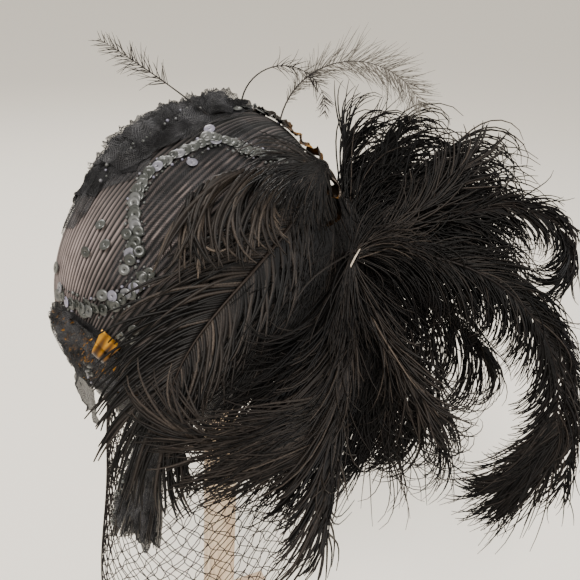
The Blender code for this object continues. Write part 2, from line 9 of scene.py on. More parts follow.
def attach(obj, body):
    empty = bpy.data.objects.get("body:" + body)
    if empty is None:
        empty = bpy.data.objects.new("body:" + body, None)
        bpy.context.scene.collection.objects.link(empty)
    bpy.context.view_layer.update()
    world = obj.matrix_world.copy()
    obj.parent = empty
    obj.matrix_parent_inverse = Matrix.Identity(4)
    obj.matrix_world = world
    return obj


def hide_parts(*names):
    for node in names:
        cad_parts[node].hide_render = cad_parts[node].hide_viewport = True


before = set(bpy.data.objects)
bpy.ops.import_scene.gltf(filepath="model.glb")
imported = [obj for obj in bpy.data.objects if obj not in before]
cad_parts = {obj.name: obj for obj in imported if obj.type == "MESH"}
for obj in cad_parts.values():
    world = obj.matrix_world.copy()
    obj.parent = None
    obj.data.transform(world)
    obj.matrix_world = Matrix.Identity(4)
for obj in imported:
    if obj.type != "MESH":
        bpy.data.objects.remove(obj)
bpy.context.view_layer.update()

# Sizes shared with the solids, in metres and degrees.
CROWN_LENGTH, CROWN_WIDTH, CROWN_HEIGHT, CROWN_FULLNESS = 0.212, 0.144, 0.105, 0.76
BAND_HEIGHT, BAND_WALL, BAND_PROUD = 0.045, 0.0024, 0.0012
SEAT_HEIGHT, SEAT_OFFSET, HAT_TILT, HAT_LEAN = 0.44, 0.045, 30, 7
STAND_TURN = -23.4
VEIL_DEPTH, VEIL_SLOPE, VEIL_FLARE, VEIL_SEAM = 0.22, 0.5, 1.14, 0.0009
TAIL_ANGLE, TAIL_DRIFT, TAIL_HEAD_SPAN, TAIL_FOOT_SPAN, TAIL_SHARE = 162, 8, 14, 30, 0.52
SPRAY_TURN, SPRAY_PITCH, SPRAY_ROLL = -50, 28, 3.8
BINDING_RADIUS, BINDING_BACK, BINDING_FRONT, BINDING_ANGLE = 0.005, -0.026, 0.068, 46
KNOT_RADIUS, KNOT_LENGTH = 0.006, 0.052
KNOT = np.array([-0.0221823, 0.05210456, 0.07015102])
DEPTH_RISE, DEPTH_RUN, DEPTH_SPREAD, DEPTH_SOFT = 1.36 * CROWN_HEIGHT, 0.027, 3, 0.004
GAP = 0.0003


def turned(axis, degrees):
    """The matrix of a turn about one axis."""
    return np.array(Matrix.Rotation(math.radians(degrees), 3, axis))


def band_points(angle, proud, height):
    """Points round the band's oval, at a height over the crown's mouth."""
    x, y = band_ring(angle, proud)
    return np.stack(np.broadcast_arrays(x, y, height), -1)


def steps_down(first, last, count):
    """Even steps from row to row."""
    return np.linspace(first, last, count)[:, None]


def steps_over(first, last, count):
    """Even steps from column to column."""
    return np.linspace(first, last, count)[None, :]


def spray_axes():
    """The spray's x, y and z as the columns of a matrix: level, up and out of its plane, then rolled."""
    turn, pitch = math.radians(SPRAY_TURN), math.radians(SPRAY_PITCH)
    out = np.array([math.sin(turn) * math.cos(pitch), -math.cos(turn) * math.cos(pitch), math.sin(pitch)])
    level = np.array([math.cos(turn), math.sin(turn), 0])
    return np.stack([level, np.cross(out, level), out], 1) @ turned("Z", SPRAY_ROLL)


def band_ring(angle, proud):
    """The band's oval: x by the cosine and y by minus the sine of the angle, each half size made proud."""
    turn = np.radians(angle)
    return (CROWN_LENGTH / 2 + proud) * np.cos(turn), -(CROWN_WIDTH / 2 + proud) * np.sin(turn)


SEAT_TURN = turned("Y", -HAT_TILT) @ turned("X", HAT_LEAN)
SEAT_AT = SEAT_TURN @ np.array([0, 0, SEAT_OFFSET]) + np.array([0, 0, SEAT_HEIGHT])
SPRAY = spray_axes()


def from_seat(points):
    """Points given on the hat's own axes, in the scene's frame."""
    return points @ SEAT_TURN.T + SEAT_AT


def spray_origin():
    """The spray's origin: the middle of the binding, beside the band's lower edge."""
    angle = math.radians(BINDING_ANGLE)
    beside = np.array([math.cos(angle) / CROWN_LENGTH, -math.sin(angle) / CROWN_WIDTH, 0])
    beside /= np.linalg.norm(beside)
    edge = band_points(BINDING_ANGLE, BAND_PROUD, GAP - BAND_HEIGHT)
    return from_seat(edge + beside * (BINDING_RADIUS + GAP))


SPRAY_AT = spray_origin()


def from_spray(points):
    """Points given on the spray's axes, in the scene's frame."""
    return points @ SPRAY.T + SPRAY_AT


def unit(vectors):
    """Vectors made one long."""
    return vectors / np.maximum(np.linalg.norm(vectors, axis=-1, keepdims=True), 1e-12)


def compass(heading):
    """The direction in a plane at this heading, as x and y."""
    return np.array([math.cos(math.radians(heading)), math.sin(math.radians(heading))])


def gaps(points, axis):
    """How far neighbouring points lie apart along an axis of their array."""
    return np.linalg.norm(np.diff(points, axis=axis), axis=-1)


def dome(along, across, offset=0):
    """The crown's face: a half ball in two angles, x and y stretched to the crown's half sizes and z raised
    to the crown's fullness, moved out along the face's normal by the offset."""
    along, across, offset = np.broadcast_arrays(np.radians(along), np.radians(across), offset)
    fore, side = np.sin(along), np.cos(along) * np.sin(across)
    rise = np.clip(np.cos(along) * np.cos(across), 0, 1)
    a, b = CROWN_LENGTH / 2, CROWN_WIDTH / 2
    points = np.stack([a * fore, -b * side, CROWN_HEIGHT * rise**CROWN_FULLNESS], -1)
    steep = np.maximum(rise, 0.02) ** (2 - CROWN_FULLNESS) / (CROWN_FULLNESS * CROWN_HEIGHT)
    return points + unit(np.stack([fore / a, -side / b, steep], -1)) * offset[..., None]


def waves(u, v, seed, low, high, count=12):
    """Smooth noise, about -1 to 1: a sum of cosine waves of random direction, pitch and phase."""
    r = np.random.default_rng(seed)
    turn = r.uniform(0, 2 * np.pi, count)
    pitch = r.uniform(low, high, count)
    phase = r.uniform(0, 2 * np.pi, count)
    u, v = np.broadcast_arrays(u, v)
    field = np.cos(u[..., None] * pitch * np.cos(turn) + v[..., None] * pitch * np.sin(turn) + phase)
    return field.sum(-1) / math.sqrt(count)


def creases(u, v, seed, low, high):
    """Crumpled cloth, 0 to 1: sharp ridges where smooth noise crosses zero, over two scales."""
    first = 1 - np.minimum(np.abs(waves(u, v, seed, low, high)), 1)
    second = 1 - np.minimum(np.abs(waves(u, v, seed + 1, 2.1 * low, 2.1 * high)), 1)
    return 0.65 * first**1.5 + 0.35 * second**1.5


def add_object(name, data):
    """An object of this data, at the origin."""
    thing = bpy.data.objects.new(name, data)
    bpy.context.scene.collection.objects.link(thing)
    return thing


def add_mesh(name, points, faces, material, uv=None, tone=None, smooth=True):
    """A mesh object of whole arrays of points and faces, with a UV map and a tone for each point if given."""
    mesh = bpy.data.meshes.new(name)
    faces = np.ascontiguousarray(faces, np.int32)
    mesh.vertices.add(len(points))
    mesh.vertices.foreach_set("co", np.ascontiguousarray(points, np.float32).ravel())
    mesh.loops.add(faces.size)
    mesh.loops.foreach_set("vertex_index", faces.ravel())
    mesh.polygons.add(len(faces))
    mesh.polygons.foreach_set("loop_start", np.arange(0, faces.size, faces.shape[1], dtype=np.int32))
    mesh.update(calc_edges=True)
    if smooth:
        mesh.polygons.foreach_set("use_smooth", np.ones(len(faces), bool))
    if uv is not None:
        layer = mesh.uv_layers.new(name="uv")
        layer.data.foreach_set("uv", np.ascontiguousarray(uv[faces.ravel()], np.float32).ravel())
    if tone is not None:
        layer = mesh.attributes.new("tone", "FLOAT", "POINT")
        layer.data.foreach_set("value", np.ascontiguousarray(tone, np.float32))
    mesh.materials.append(material)
    thing = add_object(name, mesh)
    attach(thing, "root")
    return thing


def ring_faces(first, second):
    """Quads between rings of point numbers, closed round each ring."""
    faces = np.stack([first, second, np.roll(second, -1, -1), np.roll(first, -1, -1)], -1)
    return faces.reshape(-1, 4)


def grid_faces(rows, columns, wrap=False, flip=False):
    """Quads between neighbouring points of a grid; wrap joins the last column to the first."""
    index = np.arange(rows * columns).reshape(rows, columns)
    if wrap:
        index = np.hstack([index, index[:, :1]])
    faces = np.stack([index[:-1, :-1], index[1:, :-1], index[1:, 1:], index[:-1, 1:]], -1).reshape(-1, 4)
    return faces[:, ::-1] if flip else faces


def weld(thing, distance=2e-6):
    """Closes poles: points that coincide become one."""
    shape = bmesh.new()
    shape.from_mesh(thing.data)
    bmesh.ops.remove_doubles(shape, verts=shape.verts, dist=distance)
    bmesh.ops.dissolve_degenerate(shape, edges=shape.edges, dist=distance)
    shape.to_mesh(thing.data)
    shape.free()


def add_surface(name, grid, material, wrap=False, flip=False, tone=None):
    """A surface of a grid of points; its UV map holds metres along the grid's own rows and columns."""
    rows, columns = grid.shape[:2]
    down = np.concatenate([[0], np.cumsum(gaps(grid, 0).mean(1))])
    over = np.concatenate([[0], np.cumsum(gaps(grid, 1).mean(0))])
    uv = np.stack(np.broadcast_arrays(over[None, :], down[:, None]), -1).reshape(-1, 2)
    tone = None if tone is None else np.broadcast_to(tone, (rows, columns)).ravel()
    return add_mesh(name, grid.reshape(-1, 3), grid_faces(rows, columns, wrap, flip), material, uv, tone)


def tube_arrays(paths, radius, facing, sides=3, flat=1):
    """Tapered tubes round many paths: at every point a ring of that radius across the path's direction,
    flattened along the facing direction; a face closes each end. Returns points and triangles."""
    n, k = paths.shape[:2]
    along = unit(np.gradient(paths, axis=1))
    side = unit(np.cross(along, np.broadcast_to(facing, paths.shape)))
    up = np.cross(side, along)
    turn = 2 * np.pi * np.arange(sides) / sides
    ring = side[:, :, None] * np.cos(turn)[:, None] + up[:, :, None] * (flat * np.sin(turn))[:, None]
    points = paths[:, :, None] + ring * np.broadcast_to(radius, (n, k))[:, :, None, None]
    index = np.arange(n * k * sides).reshape(n, k, sides)
    a, b = index[:, :-1], index[:, 1:]
    a2, b2 = np.roll(a, -1, 2), np.roll(b, -1, 2)
    walls = [np.stack(corners, -1).reshape(-1, 3) for corners in ((a, b, b2), (a, b2, a2))]
    fan = np.stack([np.zeros(sides - 2, int), np.arange(1, sides - 1), np.arange(2, sides)], -1)
    caps = [index[:, 0][:, fan].reshape(-1, 3), index[:, -1][:, fan[:, ::-1]].reshape(-1, 3)]
    return points.reshape(-1, 3), np.concatenate(walls + caps)


def add_tubes(name, paths, radius, facing, material, tone=None, sides=3, flat=1):
    """Tubes as one mesh; the UV map runs once along each tube and tone is one value a tube."""
    points, faces = tube_arrays(paths, radius, facing, sides, flat)
    n, k = paths.shape[:2]
    along = np.broadcast_to(np.linspace(0, 1, k)[None, :, None], (n, k, sides)).ravel()
    round_it = np.broadcast_to(np.arange(sides)[None, None, :] / sides, (n, k, sides)).ravel()
    tones = None if tone is None else np.repeat(tone, k * sides)
    return add_mesh(name, points, faces, material, np.stack([round_it, along], -1), tones)


# Materials.


def new_material(name, roughness=0.5, metallic=0, colour=(0.5, 0.5, 0.5), specular=0.5):
    """A material, its nodes and its Principled shader."""
    material = bpy.data.materials.new(name)
    material.use_nodes = True
    tree = material.node_tree
    shader = tree.nodes["Principled BSDF"]
    values = {"Base Color": (*colour, 1), "Roughness": roughness, "Metallic": metallic}
    for socket, value in (values | {"Specular IOR Level": specular}).items():
        shader.inputs[socket].default_value = value
    return material, tree, shader


def paint(tree, shader, factor, stops):
    """Puts a colour ramp with these (place, colour) stops on the shader's base colour."""
    made = tree.nodes.new("ShaderNodeValToRGB")
    elements = made.color_ramp.elements
    elements[0].position, elements[0].color = stops[0][0], (*stops[0][1], 1)
    elements[1].position, elements[1].color = stops[-1][0], (*stops[-1][1], 1)
    for place, colour in stops[1:-1]:
        elements.new(place).color = (*colour, 1)
    tree.links.new(factor, made.inputs["Fac"])
    tree.links.new(made.outputs["Color"], shader.inputs["Base Color"])


def maths(tree, operation, first, second=None):
    """One step of arithmetic on sockets or numbers."""
    made = tree.nodes.new("ShaderNodeMath")
    made.operation = operation
    for socket, value in zip(made.inputs, (first, second)):
        if value is None:
            continue
        if isinstance(value, (int, float)):
            socket.default_value = value
        else:
            tree.links.new(value, socket)
    return made.outputs[0]


def noise(tree, vector, scale, detail=2, roughness=0.5):
    made = tree.nodes.new("ShaderNodeTexNoise")
    made.inputs["Scale"].default_value = scale
    made.inputs["Detail"].default_value = detail
    made.inputs["Roughness"].default_value = roughness
    tree.links.new(vector, made.inputs["Vector"])
    return made.outputs["Fac"]


def coords(tree, kind):
    return tree.nodes.new("ShaderNodeTexCoord").outputs[kind]


def attribute(tree, name="tone"):
    made = tree.nodes.new("ShaderNodeAttribute")
    made.attribute_name = name
    return made.outputs["Fac"]


def bump(tree, shader, height, strength, distance):
    made = tree.nodes.new("ShaderNodeBump")
    made.inputs["Strength"].default_value = strength
    made.inputs["Distance"].default_value = distance
    tree.links.new(height, made.inputs["Height"])
    tree.links.new(made.outputs["Normal"], shader.inputs["Normal"])


def feather_material(name, stops, rough=0.46):
    """Strands: a ramp over each strand's own tone, broken up by fine streaks, with a soft gloss."""
    material, tree, shader = new_material(name, rough, specular=0.13)
    streak = noise(tree, coords(tree, "Object"), 1100, 3)
    broken = maths(tree, "MULTIPLY", maths(tree, "SUBTRACT", streak, 0.5), 0.35)
    paint(tree, shader, maths(tree, "ADD", attribute(tree), broken), stops)
    dull = maths(tree, "ADD", maths(tree, "MULTIPLY", streak, 0.3), rough - 0.12)
    tree.links.new(dull, shader.inputs["Roughness"])
    return material


def net_material(name, colour, pitch, thread, patchy):
    """Fine net: threads along both diagonals of the UV map in metres, see-through between them."""
    material, tree, shader = new_material(name, 0.7, colour=colour, specular=0.12)
    uv = coords(tree, "UV")
    split = tree.nodes.new("ShaderNodeSeparateXYZ")
    tree.links.new(uv, split.inputs[0])
    cover = []
    for sign in ("ADD", "SUBTRACT"):
        diagonal = maths(tree, sign, split.outputs[0], split.outputs[1])
        place = maths(tree, "FRACT", maths(tree, "MULTIPLY", diagonal, 1 / pitch))
        edge = maths(tree, "ABSOLUTE", maths(tree, "SUBTRACT", place, 0.5))
        cover.append(maths(tree, "GREATER_THAN", edge, 0.5 - thread))
    dense = maths(tree, "GREATER_THAN", noise(tree, uv, 90, 4, 0.6), 0.62 - patchy * 0.5)
    threads = maths(tree, "MAXIMUM", maths(tree, "MAXIMUM", *cover), maths(tree, "MULTIPLY", dense, patchy))
    shades = [(at, tuple(share * c for c in colour)) for at, share in ((0.36, 0.3), (0.5, 1), (0.66, 2))]
    paint(tree, shader, noise(tree, coords(tree, "Object"), 70, 4, 0.65), shades)
    clear = tree.nodes.new("ShaderNodeBsdfTransparent")
    mixed = tree.nodes.new("ShaderNodeMixShader")
    for socket, source in zip(mixed.inputs, (threads, clear.outputs[0], shader.outputs[0])):
        tree.links.new(source, socket)
    tree.links.new(mixed.outputs[0], tree.nodes["Material Output"].inputs["Surface"])
    return material


def cloth_material(name, groove, ridge):
    """Pleated sheer cloth: the tone attribute runs from groove to ridge, with weave and wear from noise; on
    the crown the groove colour is painted shade and the ridge colour a painted highlight.
    """
    material, tree, shader = new_material(name, 0.62, specular=0.2)
    place = coords(tree, "Object")
    worn = maths(tree, "MULTIPLY", noise(tree, place, 60, 5, 0.6), 0.9)
    mixed = maths(tree, "MULTIPLY", attribute(tree), maths(tree, "ADD", worn, 0.45))
    between = tuple(0.7 * g + 0.3 * r for g, r in zip(groove, ridge))
    paint(tree, shader, mixed, [(0.12, groove), (0.5, between), (0.95, ridge)])
    bump(tree, shader, noise(tree, place, 1400, 2), 0.35, 0.00035)
    shader.inputs["Sheen Weight"].default_value = 0.05
    return material


def gold_material(name, toned=False):
    """Metallic cloth: gold with fine threads across it, dark brown in patches: by noise, or, when toned,
    mostly by the tone, which on the folded pieces is painted shade in the hollows and painted highlight on
    the ridges.
    """
    material, tree, shader = new_material(name, 0.32, 0.7)
    place = coords(tree, "Object")
    cloud_and_painted_shade = noise(tree, place, 120, 4, 0.6)
    # When toned, the tone adds painted shade and highlight on the folded pieces; the noise varies the colour
    # at random.
    if toned:
        cloud_and_painted_shade = maths(tree, "MULTIPLY", cloud_and_painted_shade, 0.35)
        cloud_and_painted_shade = maths(tree, "ADD", maths(tree, "MULTIPLY", attribute(tree), 0.75), cloud_and_painted_shade)
    paint(tree, shader, cloud_and_painted_shade, GOLD_STOPS)
    bump(tree, shader, noise(tree, place, 900, 3), 0.5, 0.0004)
    return material


def sequin_material(name):
    """Dark glossy discs, each with its own shade from grey-green to lavender by its tone."""
    material, tree, shader = new_material(name, 0.36)
    paint(tree, shader, attribute(tree), SEQUIN_STOPS)
    shader.inputs["Coat Weight"].default_value = 0.15
    shader.inputs["Coat Roughness"].default_value = 0.08
    bump(tree, shader, noise(tree, coords(tree, "Object"), 700, 2), 0.12, 0.0002)
    return material


def wood_material(name, grain_way):
    """Pale limed wood: noise stretched along the grain, with faint pores, turned with the stand."""
    material, tree, shader = new_material(name, 0.55)
    mapping = tree.nodes.new("ShaderNodeMapping")
    mapping.vector_type = "TEXTURE"
    mapping.inputs["Rotation"].default_value = (0, 0, math.radians(STAND_TURN))
    mapping.inputs["Scale"].default_value = [0.2 if axis == grain_way else 0.0167 for axis in "XYZ"]
    tree.links.new(coords(tree, "Object"), mapping.inputs["Vector"])
    grain = noise(tree, mapping.outputs[0], 1.6, 6, 0.62)
    pores = noise(tree, mapping.outputs[0], 9, 3, 0.5)
    mixed = maths(tree, "ADD", maths(tree, "MULTIPLY", grain, 0.8), maths(tree, "MULTIPLY", pores, 0.2))
    paint(tree, shader, mixed, WOOD_STOPS)
    bump(tree, shader, pores, 0.25, 0.0004)
    return material


GOLD_STOPS = [(0.3, (0.01, 0.006, 0.003)), (0.52, (0.09, 0.038, 0.004)), (0.74, (0.24, 0.105, 0.006)),
              (0.98, (0.44, 0.22, 0.016))]
SEQUIN_STOPS = [(0, (0.01, 0.012, 0.01)), (0.5, (0.034, 0.037, 0.034)), (0.75, (0.075, 0.077, 0.077)),
                (1, (0.25, 0.235, 0.34))]
WOOD_STOPS = [(0.3, (0.34, 0.23, 0.15)), (0.46, (0.56, 0.42, 0.29)), (0.6, (0.72, 0.58, 0.43)),
              (0.75, (0.8, 0.7, 0.57))]
FEATHER = feather_material("feather", [(0.1, (0.0014, 0.0013, 0.0013)), (0.42, (0.0052, 0.0045, 0.0043)),
                                       (0.7, (0.025, 0.02, 0.017)), (1, (0.105, 0.082, 0.064))])
WISP = feather_material("wisp_feather", [(0.1, (0.006, 0.005, 0.005)), (0.5, (0.03, 0.026, 0.024)),
                                         (1, (0.26, 0.24, 0.21))])
QUILL = feather_material("quill", [(0.1, (0.004, 0.003, 0.003)), (0.6, (0.03, 0.021, 0.016)),
                                   (1, (0.55, 0.47, 0.38))])
THREAD = feather_material("net_thread", [(0.1, (0.004, 0.003, 0.003)), (0.6, (0.011, 0.008, 0.0075)),
                                         (1, (0.04, 0.03, 0.027))], 0.6)
# Pleats: the groove colour is painted shade, the ridge colour a painted highlight.
PLEATS = cloth_material("pleated_cloth", (0.002, 0.002, 0.002), (0.27, 0.218, 0.208))
LINING = cloth_material("lining_cloth", (0.012, 0.01, 0.01), (0.05, 0.045, 0.045))
TULLE = net_material("tulle", (0.028, 0.028, 0.03), 0.0015, 0.13, 0.3)
TULLE_FINE = net_material("tulle_fine", (0.02, 0.02, 0.022), 0.0014, 0.09, 0.1)
TULLE_DENSE = net_material("tulle_dense", (0.01, 0.01, 0.011), 0.0011, 0.2, 0.7)
GOLD = gold_material("gold_cloth")
FOLD = gold_material("gold_ribbon", True)
SEQUIN = sequin_material("sequin")
WOOD_POST = wood_material("limed_wood_post", "Z")
WOOD_BASE = wood_material("limed_wood_base", "X")


def spray_tubes(name, paths, radius, material, tone, sides=8, flat=1):
    """Tubes along paths on the spray's axes, flattened towards its plane."""
    return add_tubes(name, from_spray(paths), radius, SPRAY[:, 2], material, np.atleast_1d(tone), sides, flat)


def belongs(thing, slot, *nodes):
    """Hides the solids that a piece replaces; its slot is not used."""
    if nodes:
        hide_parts(*nodes)
    return thing


def flat_size(grid):
    """A sheet's width and length laid flat: the mean length of its grid's rows and of its columns."""
    return float(gaps(grid, 1).sum(1).mean()), float(gaps(grid, 0).sum(0).mean())


def cloth(name, grid, material, held, rests_on, slot, *nodes, wrap=False, tone=None):
    """A surface of cloth, in place of the solids named."""
    thing = add_surface(name, grid, material, wrap, tone=tone)
    return belongs(thing, slot, *nodes)


# Crown, band and trim.

# Tulle over the crown's far side: where each layer starts, in degrees, and its least and greatest lift.
DRAPE_LAYERS = ((-31, 0.0012, 0.0046), (-19, 0.002, 0.0078), (-8, 0.0026, 0.0115), (2, 0.003, 0.0145))
FRONT_LAYERS = ((0.001, 0.003), (0.0014, 0.005), (0.0018, 0.0066))
# Ribbon loops: heading in degrees, reach and width in mm, height over the knot in metres.
RIBBON_LOOPS = ((112, 12, 7, 0.012), (298, 17, 7, 0.006), (276, 34, 6, -0.004), (168, 10, 6, 0.014))


def crown_pleats():
    """The crown with its pleats: offset by a rounded ridge every few degrees across, fading to the poles. Its
    tone is painted light: shade in the grooves, highlight on the ridges and two soft pools of light.
    """
    pleats, columns_per_pleat, rows = 66, 5, 90
    across = steps_over(-90, 90, pleats * columns_per_pleat + 1)
    along = np.degrees(np.arcsin(steps_down(-1, 1, rows)))
    drift = 0.35 * waves(across / 12, along / 25, 5, 0.6, 2)
    phase = (across + 90) * pleats / 180 + 0.18 * waves(across / 4, along / 12, 8, 0.5, 2.5)
    ridge = np.abs(np.sin(np.pi * phase)) ** 0.7
    fade = np.clip(2.2 * np.cos(np.radians(along)), 0, 1)
    lift = (0.0016 * ridge - 0.0008) * fade + 0.0007 * drift * fade
    # Painted light: two soft pools of light on the crown, with painted shade in the grooves and painted
    # highlight on the ridges.
    painted_light_pool = np.exp(-(((along + 42) / 30) ** 2) - ((across + 14) / 34) ** 2)
    painted_light_pool = painted_light_pool + 0.4 * np.exp(-(((along + 4) / 34) ** 2) - ((across - 34) / 20) ** 2)
    tone = ridge**2.2 * (0.24 + 0.86 * painted_light_pool + 0.16 * waves(across / 3, along / 30, 11, 0.5, 3))
    grid = from_seat(dome(along, across, lift))
    crown = add_surface("crown_pleats", grid, PLEATS, tone=np.clip(tone, 0, 1))
    weld(crown)
    belongs(crown, "crown_cloth", "crown")


def crown_lining():
    """The crown's inner face: the same two angles, shrunk by the crown's wall."""
    wall = 0.0026
    along, across = steps_down(-90, 90, 41), steps_over(-90, 90, 61)
    shrink = 1 - wall / np.array([CROWN_LENGTH / 2, CROWN_WIDTH / 2, CROWN_HEIGHT])
    tone = 0.5 + 0.3 * waves(across / 9, along / 9, 21, 0.5, 2)
    grid = from_seat(dome(along, across) * shrink)
    lining = add_surface("crown_lining", grid, LINING, flip=True, tone=tone)
    weld(lining)
    belongs(lining, "crown_cloth", "crown")


def band_cloth():
    """The band: its oval carried down by its height and turned under at the edge, outer face crumpled."""
    angle = steps_over(0, 360, 361)[:, :-1]
    share = steps_down(0, 1, 26)
    u, height = np.radians(angle), -GAP - BAND_HEIGHT * share
    crumple = creases(7 * np.cos(u), 7 * np.sin(u) + 9 * share, 31, 0.8, 3)
    proud = BAND_PROUD - 0.001 + 0.0034 * crumple * np.sin(np.pi * share) ** 0.5
    outer = band_points(angle, proud, height)
    inner = band_points(angle, BAND_PROUD - BAND_WALL, height)[::-1]
    grid = from_seat(np.concatenate([outer, inner, outer[:1]]))
    band = add_surface("band_cloth", grid, GOLD, wrap=True)
    weld(band)
    belongs(band, "gold_lame", "band")


def tulle_patch(name, along, across, lift, material, node):
    """Crumpled tulle on the crown: a sheet over both angles, at the given lift."""
    grid = from_seat(dome(along, across, lift))
    cloth(name, grid, material, "draped", ["crown_pleats"], "black_tulle", node)


def crown_tulle():
    """Layers of crumpled tulle over the crown's far side, ragged at their free edge, their creases higher
    over the crest; then a thin patch within that edge."""
    for k, (first, low, high) in enumerate(DRAPE_LAYERS):
        along = steps_down(first, 52 - 2 * k, 112)
        front = np.clip((along + 31) / 30, 0, 1)
        edge = -20 + 26 * front - 4 * k - 4.5 * np.abs(waves(along / 5, 0 * along, 40 + k, 0.5, 2.4))
        share = steps_over(0, 1, 98)
        across = -74 + (edge + 74) * share
        fold = creases(along / 6, across / 4.5, 50 + k, 0.7, 2.4)
        rim = np.clip(share / 0.08, 0, 1) * np.clip((1 - share) / 0.06, 0.2, 1)
        crest = 0.45 + 0.55 * np.clip((along + 34) / 30, 0, 1)
        lift = low + (high - low) * fold * rim * crest
        tulle_patch(f"tulle_drape_{k}", along, across, lift, TULLE_DENSE if k == 1 else TULLE, "tulle_drape")
    along = steps_down(-40, 36, 84)
    ragged = 3 * waves(along / 5, 0 * along, 47, 0.5, 2.4)
    start = 7 + 14 * np.clip((-12 - along) / 28, 0, 1) + 0.6 * ragged
    across = start + steps_over(0, 1, 60) * (34 + ragged - start)
    fold = creases(along / 6, across / 4.5, 57, 0.7, 2.4)
    tulle_patch("tulle_inner", along, across, 0.0006 + 0.0018 * fold, TULLE_FINE, "tulle_drape")


def front_covering():
    """Layers of crumpled tulle over the crown's front, and gold cloth that shows where it is creased, its
    tone painted highlight on the creases' ridges and painted shade in the hollows.
    """
    for k, (low, high) in enumerate(FRONT_LAYERS):
        along, across = steps_down(-89, -57 - 1.5 * k, 68), steps_over(-80, 80, 142)
        lift = low + (high - low) * creases(along / 4.5, across / 6, 60 + k, 0.7, 2.4)
        tulle_patch(f"front_tulle_{k}", along, across, lift, TULLE_DENSE if k == 0 else TULLE, "front_panel")
    along, across = steps_down(-88, -60, 70), steps_over(-60, 60, 120)
    fold = creases(along / 2.6, across / 3.2, 66, 0.8, 2.6)
    grid = from_seat(dome(along, across, 0.0002 + 0.0056 * fold**3))
    # The tone paints highlight on the crease ridges and shade in the hollows.
    cloth("front_gold", grid, FOLD, "laid", ["crown_pleats"], "gold_lame", tone=fold**2)


def band_tulle():
    """Tulle over the band: its oval, a little prouder, with creases that slant down."""
    angle, share = steps_over(0, 360, 301)[:, :-1], steps_down(-0.12, 1.02, 30)
    u = np.radians(angle)
    for k, material in enumerate((TULLE_DENSE, TULLE)):
        crumple = creases(8 * np.cos(u), 8 * np.sin(u) + 5 * share, 70 + k, 0.8, 2.6)
        proud = BAND_PROUD + 0.0014 + 0.0005 * k + 0.0022 * crumple
        grid = from_seat(band_points(angle, proud, -BAND_HEIGHT * share))
        cloth(f"band_tulle_{k}", grid, material, "gathered", ["band_cloth"], "black_tulle", wrap=True)


def gold_patches():
    """The folded gold ribbon at the crown's lower front, two rounded folds high, painted lighter towards its
    top and darker towards its lower edge and one side; and the crumpled strip over the crown's back, painted
    shade in its creases and highlight on their ridges."""
    start, length, middle, half = -66.5, 12, 40, 8.5
    along = steps_down(start, start + length, 48)
    share = (along - start) / length
    across = middle + steps_over(-half, half, 32) * (0.66 + 0.34 * share)
    fold = 0.55 * np.clip(np.sin(np.pi * share), 0, 1) ** 0.5
    fold = fold + 0.45 * np.clip(np.sin(2 * np.pi * share - 0.4), 0, 1) ** 0.6
    buckle = 0.1 * waves(across / 5, along / 9, 80, 0.6, 2)
    grid = from_seat(dome(along, across, 0.0028 + 0.0042 * (fold + buckle)))
    thread = 0.2 * waves(across / 1.2, along / 14, 81, 0.6, 2.5)
    # Painted light: the ribbon's tone is lighter towards the top and darker towards the lower edge and one
    # side, over its thread lines.
    tone = np.clip(0.95 * share - 0.03 * (across - middle) + thread, 0, 1)
    cloth("gold_fold", grid, FOLD, "folded", ["front_tulle_2"], "gold_lame", "ribbon_fold", tone=tone)
    along, across = steps_down(54, 64, 30), steps_over(-60, 84, 220)
    fold = creases(along / 3.5, across / 4, 85, 0.7, 2.2)
    grid = from_seat(dome(along, across, 0.0012 + 0.0052 * fold))
    # Painted shade in the creases and painted highlight on their ridges, with random noise.
    tone = np.clip(fold + 0.2 * waves(across / 3, along / 3, 86, 0.6, 2), 0, 1)
    tone = tone * np.clip((across - 16) / 16, 0, 1)
    cloth("gold_edge", grid, FOLD, "gathered", ["crown_pleats"], "gold_lame", "gold_strip", tone=tone)


def ribbon_loops():
    """Loops of gold ribbon round the knot: each runs out along a teardrop and back, its width crumpled."""
    u, v = steps_down(0, 1, 46), steps_over(-0.5, 0.5, 9)
    for number, (heading, reach, wide, height) in enumerate(RIBBON_LOOPS):
        ahead = compass(heading)
        crumple = 0.003 * waves(u * 9, v * 3, 90 + number, 0.7, 2.2)
        out = reach / 1000 * np.sin(np.pi * u) + crumple
        aside = 0.3 * reach / 1000 * np.sin(2 * np.pi * u) + 0.35 * wide / 1000 * v
        x = KNOT[0] + out * ahead[0] - aside * ahead[1]
        y = KNOT[1] + out * ahead[1] + aside * ahead[0]
        z = KNOT[2] + 0.026 + height + wide / 1000 * v - 0.35 * out + crumple
        tone = np.clip(0.5 + 0.5 * waves(u * 7, v * 2, 95 + number, 0.6, 2), 0, 1)
        loop = add_surface(f"ribbon_loop_{number}", from_spray(np.stack([x, y, z], -1)), FOLD, tone=tone)
        belongs(loop, "gold_lame", "ribbon_knot")


def front_scrap():
    """The scrap of net at the band's front: it hangs down from the band's top and ripples."""
    angle, drop = steps_over(182, 208, 60), steps_down(0, 1, 50)
    ripple = creases(angle / 3, drop * 4, 90, 0.6, 2)
    proud = BAND_PROUD + 0.0032 + (0.011 + 0.005 * ripple) * drop
    ragged = 1 + 0.16 * waves(angle / 3, 0 * drop, 92, 0.6, 2.4)
    grid = from_seat(band_points(angle, proud, -0.001 - 0.031 * drop * ragged))
    cloth("front_scrap", grid, TULLE_DENSE, "hung", ["band_cloth"], "black_tulle", "net_scrap")


# Sequins and beads.

